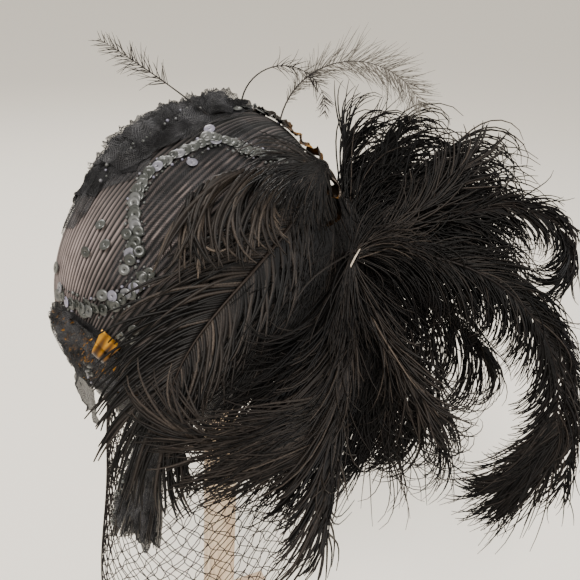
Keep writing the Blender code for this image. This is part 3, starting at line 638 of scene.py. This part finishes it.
# Places on the crown, as degrees along and across it.
VINE_TOP = ((33, 44), (24, 29), (18, 13), (10, 11), (0, 5), (-8, 5), (-17, 11), (-23, 19), (-32, 25))
VINE_FRONT = ((-29, 34), (-40, 32), (-47, 27), (-52, 15), (-54, 0), (-54, -16))
LOOSE_SEQUINS = ((-45, -26), (-53, 15), (-26, 1), (-36, 0), (-44, 22), (-30, 8), (86, 11), (20, 8), (6, 16),
                 (46, -3), (50, 4), (56, 2), (62, -2), (66, 8), (40, -1), (-83, 2), (-79, 32), (-74, 30),
                 (-64, 40), (-47, 47), (-49, 50), (-51, 44), (-62, 22))


def even_route(points, step):
    """A smooth line through points on the crown, (along, across), with a point about every step in metres."""
    points = np.asarray(points, float)
    tangent = np.gradient(points, axis=0)
    fine = np.linspace(0, len(points) - 1, 600)
    cell = np.clip(fine.astype(int), 0, len(points) - 2)
    t = (fine - cell)[:, None]
    line = ((2 * t**3 - 3 * t**2 + 1) * points[cell] + (t**3 - 2 * t**2 + t) * tangent[cell]
            + (3 * t**2 - 2 * t**3) * points[cell + 1] + (t**3 - t**2) * tangent[cell + 1])
    run = np.concatenate([[0], np.cumsum(gaps(dome(line[:, 0], line[:, 1]), 0))])
    even = np.linspace(0, run[-1], max(3, int(run[-1] / step)) + 1)
    return np.stack([np.interp(even, run, line[:, k]) for k in (0, 1)], -1)


def frame_on_crown(angles, lift):
    """Points on the crown, and the crown's normal and a tangent there."""
    along, across = angles.T
    normal = unit(dome(along, across, 0.001) - dome(along, across))
    tangent = unit(np.cross(normal, np.array([0, 1, 0])))
    return dome(along, across, lift), normal, tangent


def disc_arrays(at, normal, first, radius, hole=0.13, thick=0.00022, cup=0.02, sides=18):
    """Sequins: a ring of small section carried round each centre, a little cupped, with a hole."""
    second = np.cross(normal, first)
    turn = 2 * np.pi * np.arange(sides) / sides
    spoke = first[:, None] * np.cos(turn)[:, None] + second[:, None] * np.sin(turn)[:, None]
    out = np.array([hole, 0.6, 1, 1, 0.6, hole]) * radius[:, None]
    level = np.array([0, 0.35, 1, 1, 0.35, 0]) * cup * radius[:, None]
    level = level + np.repeat([0.5, -0.5], 3) * thick
    points = at[:, None, None] + spoke[:, None] * out[..., None, None]
    points = points + normal[:, None, None] * level[..., None, None]
    n, rows = out.shape
    index = np.arange(n * rows * sides).reshape(n, rows, sides)
    return points.reshape(-1, 3), ring_faces(index, np.roll(index, -1, 1)), rows * sides


def ball_arrays(at, radius, rings=6, sides=8):
    """Round beads: a profile of half a circle turned about the vertical; rings meet at both poles."""
    tilt = steps_down(0, np.pi, rings + 1)
    turn = 2 * np.pi * np.arange(sides) / sides
    x, y = np.sin(tilt) * np.cos(turn), np.sin(tilt) * np.sin(turn)
    shell = np.stack(np.broadcast_arrays(x, y, np.cos(tilt)), -1)
    points = at[:, None, None] + shell[None] * radius[:, None, None, None]
    index = np.arange(len(at) * (rings + 1) * sides).reshape(len(at), rings + 1, sides)
    return points.reshape(-1, 3), ring_faces(index[:, :-1], index[:, 1:]), (rings + 1) * sides


def add_beads(name, points, faces, tone):
    """Beads as one mesh, closed at their poles."""
    beads = add_mesh(name, points, faces, SEQUIN, tone=tone)
    weld(beads, 1e-6)
    belongs(beads, "sequins")


def sequins_and_beads():
    """Shingled sequins along both vines, with seed beads beside them and loose sequins between."""
    r = np.random.default_rng(300)
    top_step, front_step = 0.0036, 0.0042
    top, front = even_route(VINE_TOP, top_step), even_route(VINE_FRONT, front_step)
    more_top = top[2::3] + r.normal(0, 2.2, top[2::3].shape)
    more_front = front[1::3] + r.normal(0, 2, front[1::3].shape)
    for name, parts in (("top", [top, more_top]), ("front", [front, more_front, LOOSE_SEQUINS])):
        angles = np.vstack(parts)
        angles = angles + r.normal(0, 0.5, angles.shape)
        at, normal, first = frame_on_crown(angles, 0.0026 + 0.001 * r.random(len(angles)))
        ahead = unit(np.gradient(at, axis=0))
        tilt = unit(normal + 0.2 * ahead + 0.07 * r.normal(0, 1, normal.shape))
        first = unit(first - tilt * (first * tilt).sum(-1, keepdims=True))
        points, faces, per = disc_arrays(at, tilt, first, r.uniform(0.0032, 0.0037, len(at)))
        tone = np.repeat(np.clip(r.beta(1.6, 2.4, len(at)), 0, 1), per)
        piece = add_mesh(f"sequins_{name}", from_seat(points), faces, SEQUIN, tone=tone, smooth=False)
        belongs(piece, "sequins", f"sequin_vine_{name}")
    beads = []
    for line, width in ((top, 0.0042), (top, -0.0042), (front, 0.0046), (front, -0.0046)):
        at, normal, _ = frame_on_crown(line, 0.0016)
        ahead = unit(np.gradient(at, axis=0))
        aside = unit(np.cross(normal, ahead)) * (width * r.uniform(0.8, 1.35, (len(at), 1)))
        beads.append(at + aside + ahead * r.normal(0, 0.0008, (len(at), 1)))
    rim = np.stack([np.linspace(-14, 74, 46), -12 + r.normal(0, 3, 46)], -1)
    beads.append(frame_on_crown(rim, 0.0058)[0])
    cluster = np.array([-79, 32]) + r.normal(0, 3, (16, 2))
    beads.append(frame_on_crown(cluster, 0.004)[0])
    at = np.concatenate(beads)
    points, faces, per = ball_arrays(at, r.uniform(0.0007, 0.0012, len(at)))
    tone = np.clip(r.beta(2, 1.6, len(at)), 0, 0.85)
    add_beads("seed_beads", from_seat(points), faces, np.repeat(tone, per))


def lock_draws(r, lock, locks):
    """A function that draws a normal value for each strand, mostly shared within its lock."""
    def draw(low=0.75):
        return low * r.normal(0, 1, locks)[lock] + (1 - low) * 1.6 * r.normal(0, 1, len(lock))
    return draw


# Feathers.

# Plumes: name, layer in mm; the quill's heading, bend and hook in degrees; its length and the plume's
# width to the left and right in mm; strands, their length in mm and their tips' hook in degrees; how far
# they stand off the plume's plane in mm; how brown; how far up the quill they grow, as a share; a strand's
# radius in mm.
PLUMES = (
    ("upper_back", -28, 92, -16, -8, 130, 20, 24, 150, 82, -170, 8, 0.05, 0.66, 0.85),
    ("upper_mid", -20, 69, -8, -6, 145, 24, 24, 160, 88, -170, 8, 0.05, 0.66, 0.85),
    ("upper_front", -12, 48, 2, -40, 160, 24, 22, 160, 88, -160, 8, 0.05, 0.66, 0.85),
    ("upper_low", -4, 27, 10, -42, 145, 22, 22, 160, 82, -140, 8, 0.05, 0.66, 0.85),
    ("grey", 12, 27, 30, -10, 112, 14, 16, 120, 52, 40, 4, 0.24, 0.94, 0.95),
    ("curl", 4, 17, 40, -248, 222, 22, 16, 420, 44, -60, 7, 0.08, 0.94, 0.7),
    ("crescent", 20, 12, -130, -54, 294, 30, 20, 600, 58, -50, 4, 0.12, 0.94, 0.7),
    ("edge", -36, 22, -150, 16, 350, 20, 22, 400, 56, -40, 7, 0.06, 0.94, 0.7),
    ("side", -28, 341, -44, -20, 196, 24, 26, 240, 74, -100, 8, 0.06, 0.66, 0.7),
    ("low_back", -12, 306, -20, -28, 200, 30, 28, 300, 80, -120, 9, 0.07, 0.66, 0.7),
    ("low_mid", 4, 281, 2, -4, 178, 30, 30, 300, 80, -100, 9, 0.08, 0.66, 0.7),
    ("low_front", 12, 256, -6, -30, 150, 26, 28, 290, 78, -80, 8, 0.1, 0.66, 0.7),
    ("hanging", 28, 272, -38, 36, 190, 16, 18, 190, 60, -60, 6, 0.26, 0.8, 0.95),
    ("lock", 36, 290, 14, 4, 112, 10, 12, 110, 54, 30, 4, 0.3, 0.94, 0.95),
    ("flat", 20, 276, -88, -64, 176, 16, 18, 170, 62, -14, 5, 0.28, 0.94, 0.95),
)

# Loose tufts: the middle (x, y) and half size of the patch that they grow from, in mm; heading and fan
# in degrees; length in mm; strands; layer in mm; their tips' hook in degrees; how brown.
TUFTS = (
    (8, 12, 9, 66, 46, 92, 130, -8, -110, 0.06),
    (24, 36, 20, 78, 34, 76, 120, -14, -150, 0.08),
    (55, 34, 20, 50, 36, 74, 120, -8, -150, 0.06),
    (34, 6, 18, 12, 46, 84, 190, 2, -120, 0.06),
    (72, 8, 22, -10, 40, 64, 220, 6, -120, 0.08),
    (10, -8, 10, 300, 44, 96, 260, 4, -80, 0.06),
    (2, -10, 10, 258, 34, 100, 300, 14, -60, 0.08),
    (-4, -60, 24, 236, 26, 76, 300, 14, -60, 0.1),
    (20, -66, 26, 262, 30, 80, 260, 6, -80, 0.06),
    (-14, -102, 17, 176, 9, 74, 190, 22, -24, 0.26),
    (-14, 36, 9, 256, 22, 80, 170, 6, -40, 0.08),
    (-22, 10, 16, 244, 26, 80, 240, 5, -40, 0.06),
    (-34, -44, 18, 228, 22, 62, 260, 6, -30, 0.08),
    (-6, 34, 12, 284, 26, 70, 180, 6, -60, 0.1),
    (44, -76, 26, 266, 26, 92, 90, 8, 270, 0.1),
    (146, -122, 11, 232, 12, 78, 200, 20, -52, 0.14),
    (0, 0, 2, 48, 44, 52, 60, 44, -60, 0.26),
    (0, 0, 2, 262, 40, 62, 80, 44, 30, 0.22),
    (-24, 50, 4, 206, 60, 46, 90, 30, 40, 0.14),
    (-22, 50, 4, 268, 50, 40, 60, 30, 20, 0.1),
)


def depth_field(x, y, layer):
    """How far out of the spray's plane a plume lies: a soft step over the crown, a broad bulge, its layer."""
    over = DEPTH_SOFT * np.log1p(np.exp(-x / DEPTH_SOFT))
    bulge = 0.022 * np.exp(-((x - 0.09) ** 2 + (y + 0.03) ** 2) / 0.01)
    return DEPTH_RISE * (1 - np.exp(-over / DEPTH_RUN)) + bulge + layer * (1 + DEPTH_SPREAD * np.hypot(x, y))


def spine(start, heading, bend, hook, length, stations):
    """A planar line: its direction turns evenly by bend and, towards its tip, by hook."""
    share = np.linspace(0, 1, stations + 1)
    angle = np.radians(heading + bend * share + hook * share**3)
    step = 0.5 * length / stations
    x = start[0] + np.concatenate([[0], np.cumsum(step * (np.cos(angle[1:]) + np.cos(angle[:-1])))])
    y = start[1] + np.concatenate([[0], np.cumsum(step * (np.sin(angle[1:]) + np.sin(angle[:-1])))])
    return x, y, angle


def strands(start, heading, length, curl, hook, droop, off, layer, points=12):
    """Strands that start in the spray's plane and turn as they go: evenly by curl, mostly near the tip by
    hook, and towards the ground by droop times the cosine of their direction. Each lies at its layer's depth
    and rises off it towards its tip."""
    t = np.linspace(0, 1, points)
    turn, place, line = np.array(heading), np.array(start), [np.array(start)]
    phase = 40 * (start[:, 0] + start[:, 1]) * 1000 + 3 * heading
    for k in range(1, points):
        middle, step = 0.5 * (t[k] + t[k - 1]), t[k] - t[k - 1]
        sway = 0.55 * np.cos(2 * np.pi * middle + phase)
        turn = turn + (curl + sway + (0.3 + 2.8 * middle**3) * hook - droop * np.cos(turn)) * step
        place = place + (length * step)[:, None] * np.stack([np.cos(turn), np.sin(turn)], -1)
        line.append(place)
    line = np.stack(line, 1)
    depth = depth_field(line[..., 0], line[..., 1], layer) + off[:, None] * t**1.3
    return np.concatenate([line, depth[..., None]], -1)


def strand_tubes(name, paths, root, tone, brown, nodes, material=FEATHER, sides=3, flat=0.6):
    """Strands as tubes that taper to their tips, one in seventeen of them lighter as a painted highlight."""
    taper = root * (1 - 0.7 * steps_over(0, 1, paths.shape[1]) ** 2.5)
    # Painted highlight: about one strand in seventeen is made lighter, as a glint.
    painted_glint = np.random.default_rng(len(tone)).random(len(tone)) < 0.06
    tone = np.clip(tone + brown + 0.45 * np.clip(0.85 - tone - brown, 0, 1) * painted_glint, 0, 1)
    piece = spray_tubes(name, paths, taper, material, tone, sides, flat)
    belongs(piece, "feathers", *nodes)


def quill_tube(name, line, layer, root, tone, nodes, material=QUILL, depth=None):
    """A quill: one tube along its line, tapering to a fifth."""
    x, y, _ = (v[::4] for v in line)
    z = depth_field(x, y, layer) if depth is None else np.full_like(x, depth)
    width = root * (1 - 0.8 * steps_over(0, 1, len(x)))
    piece = spray_tubes(name, np.stack([x, y, z], -1)[None], width, material, tone)
    belongs(piece, "feathers", *nodes)


def along_line(line, share):
    """Place and direction on a line at these shares of its length."""
    at = np.linspace(0, 1, len(line[0]))
    x, y, angle = (np.interp(share, at, values) for values in line)
    return np.stack([x, y], -1), angle


def plume(row, seed):
    """One ostrich plume: long soft strands that leave both sides of a quill at a low angle and follow its
    bend, in locks, their tips curling over."""
    name, layer, heading, bend, hook, length, left, right, count, *rest = row
    reach, tip, standing, brown, grown, wide = rest
    locks, loose = 15, grown < 0.7
    r = np.random.default_rng(seed)
    line = spine((BINDING_RADIUS + GAP) * compass(heading), heading, bend, hook, length / 1000, 120)
    share = np.sort(r.uniform(0, grown, count))
    side = np.where(r.random(count) < 0.5, 1, -1)
    lock = np.clip((share * locks).astype(int), 0, locks - 1) + locks * (side > 0)
    mixed = lock_draws(r, lock, 2 * locks)
    start, angle = along_line(line, share)
    bending = np.interp(share, np.linspace(0, 1, 121), np.gradient(line[2])) * 120000 / length
    long = reach / 1000 * np.clip(1 + 0.15 * mixed(0.7), 0.5, 1.35) * (1 - 0.42 * share**2)
    width = np.where(side > 0, left, right) / 1000 * np.sqrt(np.clip(1 - 0.8 * share**3, 0.1, 1))
    slant = np.arcsin(np.clip(width / long, 0.05, 0.85)) * (1 + 0.22 * mixed(0.7))
    curl = 0.75 * bending * long + side * 0.22 * mixed(0.7)
    hooked = np.radians(tip * (0.8 + 0.4 * mixed(0.7)))
    hooked = hooked * np.where(r.random(count) < (1 if loose else 0.94), 1, -1)
    off = standing / 1000 * mixed(0.5)
    points = 11 if loose else 9
    paths = strands(start, angle + side * slant, long, curl, hooked, 0.3, off, layer / 1000, points)
    strand_tubes(f"strands_{name}", paths, wide / 1000, 0.24 + 0.13 * mixed(0.5), brown, [f"plume_{name}"])
    shown = 85 if grown < 0.9 else 121
    quill_tube(f"quill_{name}", [v[:shown] for v in line], layer / 1000, 0.0011, 0.15, [f"plume_{name}"])


def tufts():
    """Loose tufts: strands that fan from a patch within the spray, the tips curling over."""
    r = np.random.default_rng(700)
    locks, strand = 16, 0.00068
    for number, (x, y, spread, heading, fan, length, count, layer, hook, brown) in enumerate(TUFTS):
        mixed = lock_draws(r, r.integers(0, locks, count), locks)
        start = [middle + spread * r.uniform(-1, 1, count) for middle in (x, y)]
        start = np.stack(start, -1) / 1000
        direction = np.radians(heading + fan * 0.5 * mixed(0.6))
        reach = length / 1000 * np.clip(0.86 + 0.16 * r.normal(0, 1, count), 0.4, 1.15)
        curl = np.radians(18 * mixed())
        hooked = np.radians(hook * (0.7 + 0.5 * mixed()))
        off = 0.007 * mixed(0.5)
        off = 0.35 * np.abs(off) if x < 0 else off
        points = 18 if hook > 200 else 9
        paths = strands(start, direction, reach, curl, hooked, 0.35, off, layer / 1000, points)
        strand_tubes(f"tuft_{number}", paths, strand, 0.24 + 0.14 * mixed(0.5), brown, [])


def side_quill():
    """The long feather over the crown's side: parallel barbs, evenly spaced, each a flat tapering blade."""
    seed, heading, count, blade = 801, 249, 92, 0.00115
    r = np.random.default_rng(seed)
    line = spine(KNOT[:2] + (KNOT_RADIUS + GAP) * compass(heading), heading, -66, 108, 0.178, 120)
    for name, side, width in (("left", 1, 0.034), ("right", -1, 0.046)):
        share = np.linspace(0.04, 1, count)
        start, angle = along_line(line, share)
        fullness = np.clip(share / 0.22, 0.2, 1) ** 0.7 * (1 - 0.45 * share**5)
        reach = width * 1.5 * fullness * (1 + 0.05 * r.normal(0, 1, count))
        wave = waves(share * 9, 0, seed + int(side), 0.7, 2.4)
        slant = np.radians(50 + 4 * wave) * (1 - 0.55 * share**3)
        curl = -side * np.radians(34 + 9 * wave + 3 * r.normal(0, 1, count))
        hooked = side * np.radians(18 * wave + 10 * r.normal(0, 1, count))
        off = 0.0018 * np.abs(wave) + 0.0022 * r.random(count)
        paths = strands(start, angle + side * slant, reach, curl, hooked, 0, off, 0.008, 16)
        tone = 0.38 + 0.1 * wave + 0.14 * r.normal(0, 1, count)
        nodes = ["plume_side_quill"]
        strand_tubes(f"side_quill_{name}", paths, blade, tone, 0.04, nodes, sides=4, flat=0.35)
    quill_tube("side_quill_shaft", line, 0.0088, 0.0011, 0.35, ["plume_side_quill"])


def arched():
    """The arched brown feather above it: long barbs that droop from one side of its quill like a comb."""
    r = np.random.default_rng(802)
    line = spine(KNOT[:2] + (KNOT_RADIUS + GAP) * compass(204), 196, -26, 70, 0.072, 120)
    for layer, count in ((16, 58), (20, 34)):
        share = np.sort(r.uniform(0, 1, count))
        mixed = lock_draws(r, np.clip((share * 12).astype(int), 0, 11), 12)
        start, angle = along_line(line, share)
        side = np.where(r.random(count) < 0.9, 1, -1)
        reach = np.where(side > 0, 0.058, 0.012) * (0.95 + 0.16 * mixed()) * (1 - 0.25 * share**3)
        direction = angle + side * np.radians(14 + 9 * mixed())
        hooked = np.radians(12 + 34 * mixed())
        curl = np.radians(42 + 16 * mixed())
        off = 0.004 * r.random(count)
        paths = strands(start, direction, reach, curl, hooked, 0.9, off, layer / 1000, 16)
        tone = 0.4 + 0.14 * mixed(0.5)
        strand_tubes(f"arched_{layer}", paths, 0.0012, tone, 0.2, ["plume_arched"], sides=4, flat=0.4)
    quill_tube("arched_shaft", line, 0.0166, 0.001, 0.45, ["plume_arched"])


# Wisps: name, degrees along and across the crown; heading and bend in degrees; length and the barbs' reach
# in mm; barbs; how pale.
WISPS = (
    ("left", 28, -1, 141, 8, 86, 9, 80, 0),
    ("middle", 49, -12, 92, -190, 92, 8, 80, 0.05),
    ("right", 67, 5, 82, -150, 134, 17, 300, 0.5),
)


def wisp(row, seed):
    """A thin plume that stands on the crown: a fine quill with sparse hair-thin barbs in one plane."""
    name, along, across, heading, bend, length, width, count, pale = row
    r = np.random.default_rng(seed)
    foot = (from_seat(dome(float(along), float(across), 0.0008)) - SPRAY_AT) @ SPRAY
    line = spine(foot[:2], heading, bend, 0, length / 1000, 100)
    share = np.sort(r.uniform(0.12 if pale > 0.2 else 0.4, 1, count))
    start, angle = along_line(line, share)
    side = np.where(np.arange(count) % 2, 1, -1)
    reach = width / 1000 * 1.5 * np.clip((share - 0.05) * 2.6, 0.2, 1)
    reach = reach * np.sqrt(np.clip(1.15 - share**4, 0.1, 1)) * r.uniform(0.7, 1.15, count)
    way = (angle + side * np.radians(40 + 8 * r.normal(0, 1, count)))[:, None]
    way = way + np.radians(r.normal(0, 16, count))[:, None] * steps_over(0, 1, 8)[:, 1:]
    rise = 0.12 * r.normal(0, 1, count)[:, None]
    step = np.stack(np.broadcast_arrays(np.cos(way), np.sin(way), rise), -1) * (reach / 7)[:, None, None]
    root = np.concatenate([start, np.full((count, 1), foot[2])], 1)[:, None]
    paths = np.concatenate([root, root + np.cumsum(step, 1)], 1)
    tone = 0.15 + 0.15 * r.random(count)
    strand_tubes(f"wisp_barbs_{name}", paths, 0.00026, tone, pale, [f"wisp_{name}"], WISP, flat=1)
    quill_tube(f"wisp_quill_{name}", line, 0, 0.0006, 0.1 + 0.5 * pale, [f"wisp_{name}"], WISP, foot[2])


# Veil and tail.


def veil_point(angle, drop, out=0):
    """The veil: from the band's lower edge straight down to the hem, spreading and rippling on the way."""
    angle, drop = np.broadcast_arrays(angle, drop)
    edge = from_seat(band_points(angle, BAND_PROUD - BAND_WALL / 2, -BAND_HEIGHT - VEIL_SEAM))
    middle = from_seat(np.array([0, 0, -BAND_HEIGHT]))[2]
    hem = middle - VEIL_DEPTH + VEIL_SLOPE * (edge[..., 2] - middle)
    spread = (1 + (VEIL_FLARE - 1) * drop) * (1 + 0.02 * drop * np.sin(np.radians(angle) * 6))
    ring = edge[..., :2] * spread[..., None]
    ring = ring + unit(ring) * np.broadcast_to(out, angle.shape)[..., None]
    return np.concatenate([ring, (edge[..., 2] + (hem - edge[..., 2]) * drop)[..., None]], -1)


def veil_net():
    """Two crossing families of doubled threads: each thread's angle moves one mesh for each mesh it drops."""
    columns, rows, points, thread = 46, 12, 58, 0.0004
    drop = steps_over(0, 1, points)
    start = np.arange(columns)[:, None]
    paths = []
    for sign in (1, -1):
        for twin in (-0.5, 0.5):
            wobble = 0.21 * np.sin(drop * 31 + start * 2.1 + twin * 2.4)
            wobble = wobble + 0.06 * np.sin(drop * 83 + start * 1.3 * sign)
            turn = (start + sign * rows * drop + 0.11 * twin + wobble) * 360 / columns
            sway = 0.0026 * waves(np.radians(turn) * 3, drop * 5, 400, 0.6, 2.2)
            paths.append(veil_point(turn, drop, sway))
    paths = np.concatenate(paths)
    facing = unit(paths * np.array([1, 1, 0]))
    tone = np.random.default_rng(401).uniform(0.1, 0.8, len(paths))
    net = add_tubes("veil_net", paths, thread, facing, THREAD, tone)
    belongs(net, "veil_net", "veil")
    hem = veil_point(steps_over(0, 360, 241), 1)
    edge = add_tubes("veil_hem", hem, 0.0005, (0, 0, 1), THREAD, np.array([0.3]), sides=6)
    belongs(edge, "veil_net", "veil")
    net_sheet()


def net_sheet():
    """Works out the veil's width and length laid flat; nothing uses them."""
    over, down = flat_size(veil_point(steps_over(0, 360, 121), steps_down(0, 1, 21)))


def tail_angle(drop, side):
    """The tail's angle round the band: side runs from -1 to 1 over a span that widens with the drop."""
    span = TAIL_HEAD_SPAN + (TAIL_FOOT_SPAN - TAIL_HEAD_SPAN) * drop
    return TAIL_ANGLE + TAIL_DRIFT * drop + 0.5 * span * side


def tail():
    """The gathered tail: tulle hung from the band outside the veil, its sharp folds opening to a ragged foot,
    with loose threads and with beads down its front edge."""
    drop, side = steps_down(0, 1, 60), steps_over(-1, 1, 80)
    for k in range(4):
        fold = np.abs(np.sin(side * (6 + k) + 1.6 * waves(side * 2, drop * 3, 500 + k, 0.6, 2)))
        rough = creases(side * 3, drop * 7, 530 + k, 0.7, 2.2)
        out = 0.001 + 0.0009 * k + (0.0012 + 0.005 * drop) * fold + (0.001 + 0.004 * drop) * rough
        ragged = 1 - 0.05 * k + 0.1 * waves(side * 9, 0 * drop, 520 + k, 0.6, 2.4) * drop**3
        grid = veil_point(tail_angle(drop, side * (1 - 0.1 * k)), TAIL_SHARE * drop * ragged, out)
        material = TULLE_DENSE if k < 2 else TULLE
        cloth(f"tail_{k}", grid, material, "gathered", ["band_cloth"], "black_tulle", "tulle_tail")
    r = np.random.default_rng(540)
    threads, beads = 90, 34
    drop = steps_over(0.45, 1.06, 14)
    side = r.uniform(-1, 1, threads)[:, None]
    angle = tail_angle(drop, side) + 1.2 * np.sin(5 * drop + 6 * side)
    long = TAIL_SHARE * drop * r.uniform(0.86, 1, (threads, 1))
    fray = veil_point(angle, long, 0.006 + 0.004 * r.random((threads, 1)) * drop)
    frayed = add_tubes("tail_fray", fray, 0.0004, SPRAY[:, 2], WISP, r.uniform(0.3, 0.7, threads))
    belongs(frayed, "black_tulle", "tulle_tail")
    drop = np.linspace(0.12, 0.98, beads)
    angle = tail_angle(drop, r.uniform(0.78, 1, beads))
    at = veil_point(angle, TAIL_SHARE * drop, 0.008 + 0.003 * r.random(beads))
    points, faces, per = ball_arrays(at, r.uniform(0.0009, 0.0017, beads))
    add_beads("tail_beads", points, faces, np.repeat(0.7 * r.random(beads), per))


# Binding, knot and stand.


def stub():
    """The bare pale end of one quill, which sticks out over the binding: a tube along four points."""
    path = [[-0.003, -0.012, 0.07], [-0.001, -0.006, 0.0715], [0.002, 0, 0.0725], [0.005, 0.005, 0.072]]
    radius = np.array([[0.0004, 0.0006, 0.0006, 0.0003]])
    belongs(spray_tubes("quill_stub", np.array([path]), radius, QUILL, 0.95), "feathers")


def bars():
    """The quills' binding and the knot: dark thread wound round and round a dark core."""
    turns, points, thread = 46, 1400, 0.0008
    for name, node, centre, radius, low, high in (
            ("binding", "quill_binding", np.zeros(2), BINDING_RADIUS, BINDING_BACK, BINDING_FRONT),
            ("knot", "ribbon_knot", KNOT[:2], KNOT_RADIUS, KNOT[2], KNOT[2] + 0.62 * KNOT_LENGTH)):
        t = np.linspace(0, 1, points)
        phase = 2 * np.pi * turns * t
        swell = radius * (0.8 + 0.12 * np.sin(np.pi * t))
        x, y = centre[0] + swell * np.cos(phase), centre[1] + swell * np.sin(phase)
        path = np.stack([x, y, low + (high - low) * t], -1)[None]
        wound = spray_tubes(f"{name}_thread", path, thread, THREAD, 0.3, sides=4)
        belongs(wound, "gold_lame", node)
        around, share = steps_over(0, 2 * np.pi, 25)[:, :-1], steps_down(0, 1, 12)
        girth = 0.8 * radius * np.sqrt(np.clip(1 - (2 * share - 1) ** 10, 0, 1))
        x, y = centre[0] + girth * np.cos(around), centre[1] + girth * np.sin(around)
        core = from_spray(np.stack(np.broadcast_arrays(x, y, low + (high - low) * share), -1))
        bundle = add_surface(f"{name}_core", core, THREAD, wrap=True, flip=True, tone=0.2)
        weld(bundle)
        belongs(bundle, "gold_lame", node)


def stand():
    """The stand's own solids keep their shape and take limed wood."""
    for name, wood in (("stand_base", WOOD_BASE), ("stand_post", WOOD_POST), ("stand_pad", WOOD_POST)):
        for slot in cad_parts[name].material_slots:
            slot.material = wood


# Building.

crown_pleats()
crown_lining()
band_cloth()
crown_tulle()
front_covering()
band_tulle()
gold_patches()
ribbon_loops()
front_scrap()
sequins_and_beads()
for number, row in enumerate(PLUMES):
    plume(row, 1000 + number)
tufts()
side_quill()
arched()
for number, row in enumerate(WISPS):
    wisp(row, 2000 + number)
veil_net()
tail()
bars()
stub()
stand()


# Stage.

CAMERA_BACK, AIM_RIGHT, AIM_DOWN = 0.49, 0.059, 0.0155
SENSOR, FOCAL_SHARE = 36, 700 / 580
LIT = (0, -0.03, 0.45)


def floor():
    """A plain pale floor, just under the stand."""
    half, drop = 20, 0.0002
    mesh = bpy.data.meshes.new("floor")
    corners = [(x * half, y * half, -drop) for x, y in ((-1, -1), (1, -1), (1, 1), (-1, 1))]
    mesh.from_pydata(corners, [], [(0, 1, 2, 3)])
    mesh.materials.append(new_material("floor", 0.8, colour=(0.9, 0.855, 0.775))[0])
    add_object("floor", mesh)


def area_light(name, at, size, power, colour):
    """A round lamp that points at the hat."""
    lamp = bpy.data.lights.new(name, "AREA")
    lamp.shape, lamp.size, lamp.energy, lamp.color = "DISK", size, power, colour
    thing = add_object(name, lamp)
    thing.location = at
    thing.rotation_euler = (Vector(LIT) - Vector(at)).to_track_quat("-Z", "Y").to_euler()


def camera():
    """The photo's view: straight at the spray's plane, rolled with it, the aim a little to the right of and
    below the hat's seat."""
    right, up, back = SPRAY.T
    aim = SEAT_AT + right * AIM_RIGHT - up * AIM_DOWN
    lens = bpy.data.cameras.new("camera")
    lens.sensor_width, lens.lens, lens.clip_start = SENSOR, FOCAL_SHARE * SENSOR, 0.01
    thing = add_object("camera", lens)
    matrix = np.eye(4)
    matrix[:3] = np.stack([right, up, back, aim + back * CAMERA_BACK], 1)
    thing.matrix_world = Matrix(matrix.tolist())
    bpy.context.scene.camera = thing


floor()
camera()
area_light("key", (-1.1, -0.9, 1.9), 0.8, 60, (1, 0.96, 0.9))
area_light("fill", (1.4, -1.6, 1.1), 1.6, 24, (0.93, 0.96, 1))
area_light("rim", (0.6, 1.5, 1.7), 1, 26, (1, 0.97, 0.93))
world = bpy.data.worlds.new("studio")
world.use_nodes = True
world.node_tree.nodes["Background"].inputs["Color"].default_value = (1, 0.95, 0.87, 1)
world.node_tree.nodes["Background"].inputs["Strength"].default_value = 0.95
bpy.context.scene.world = world
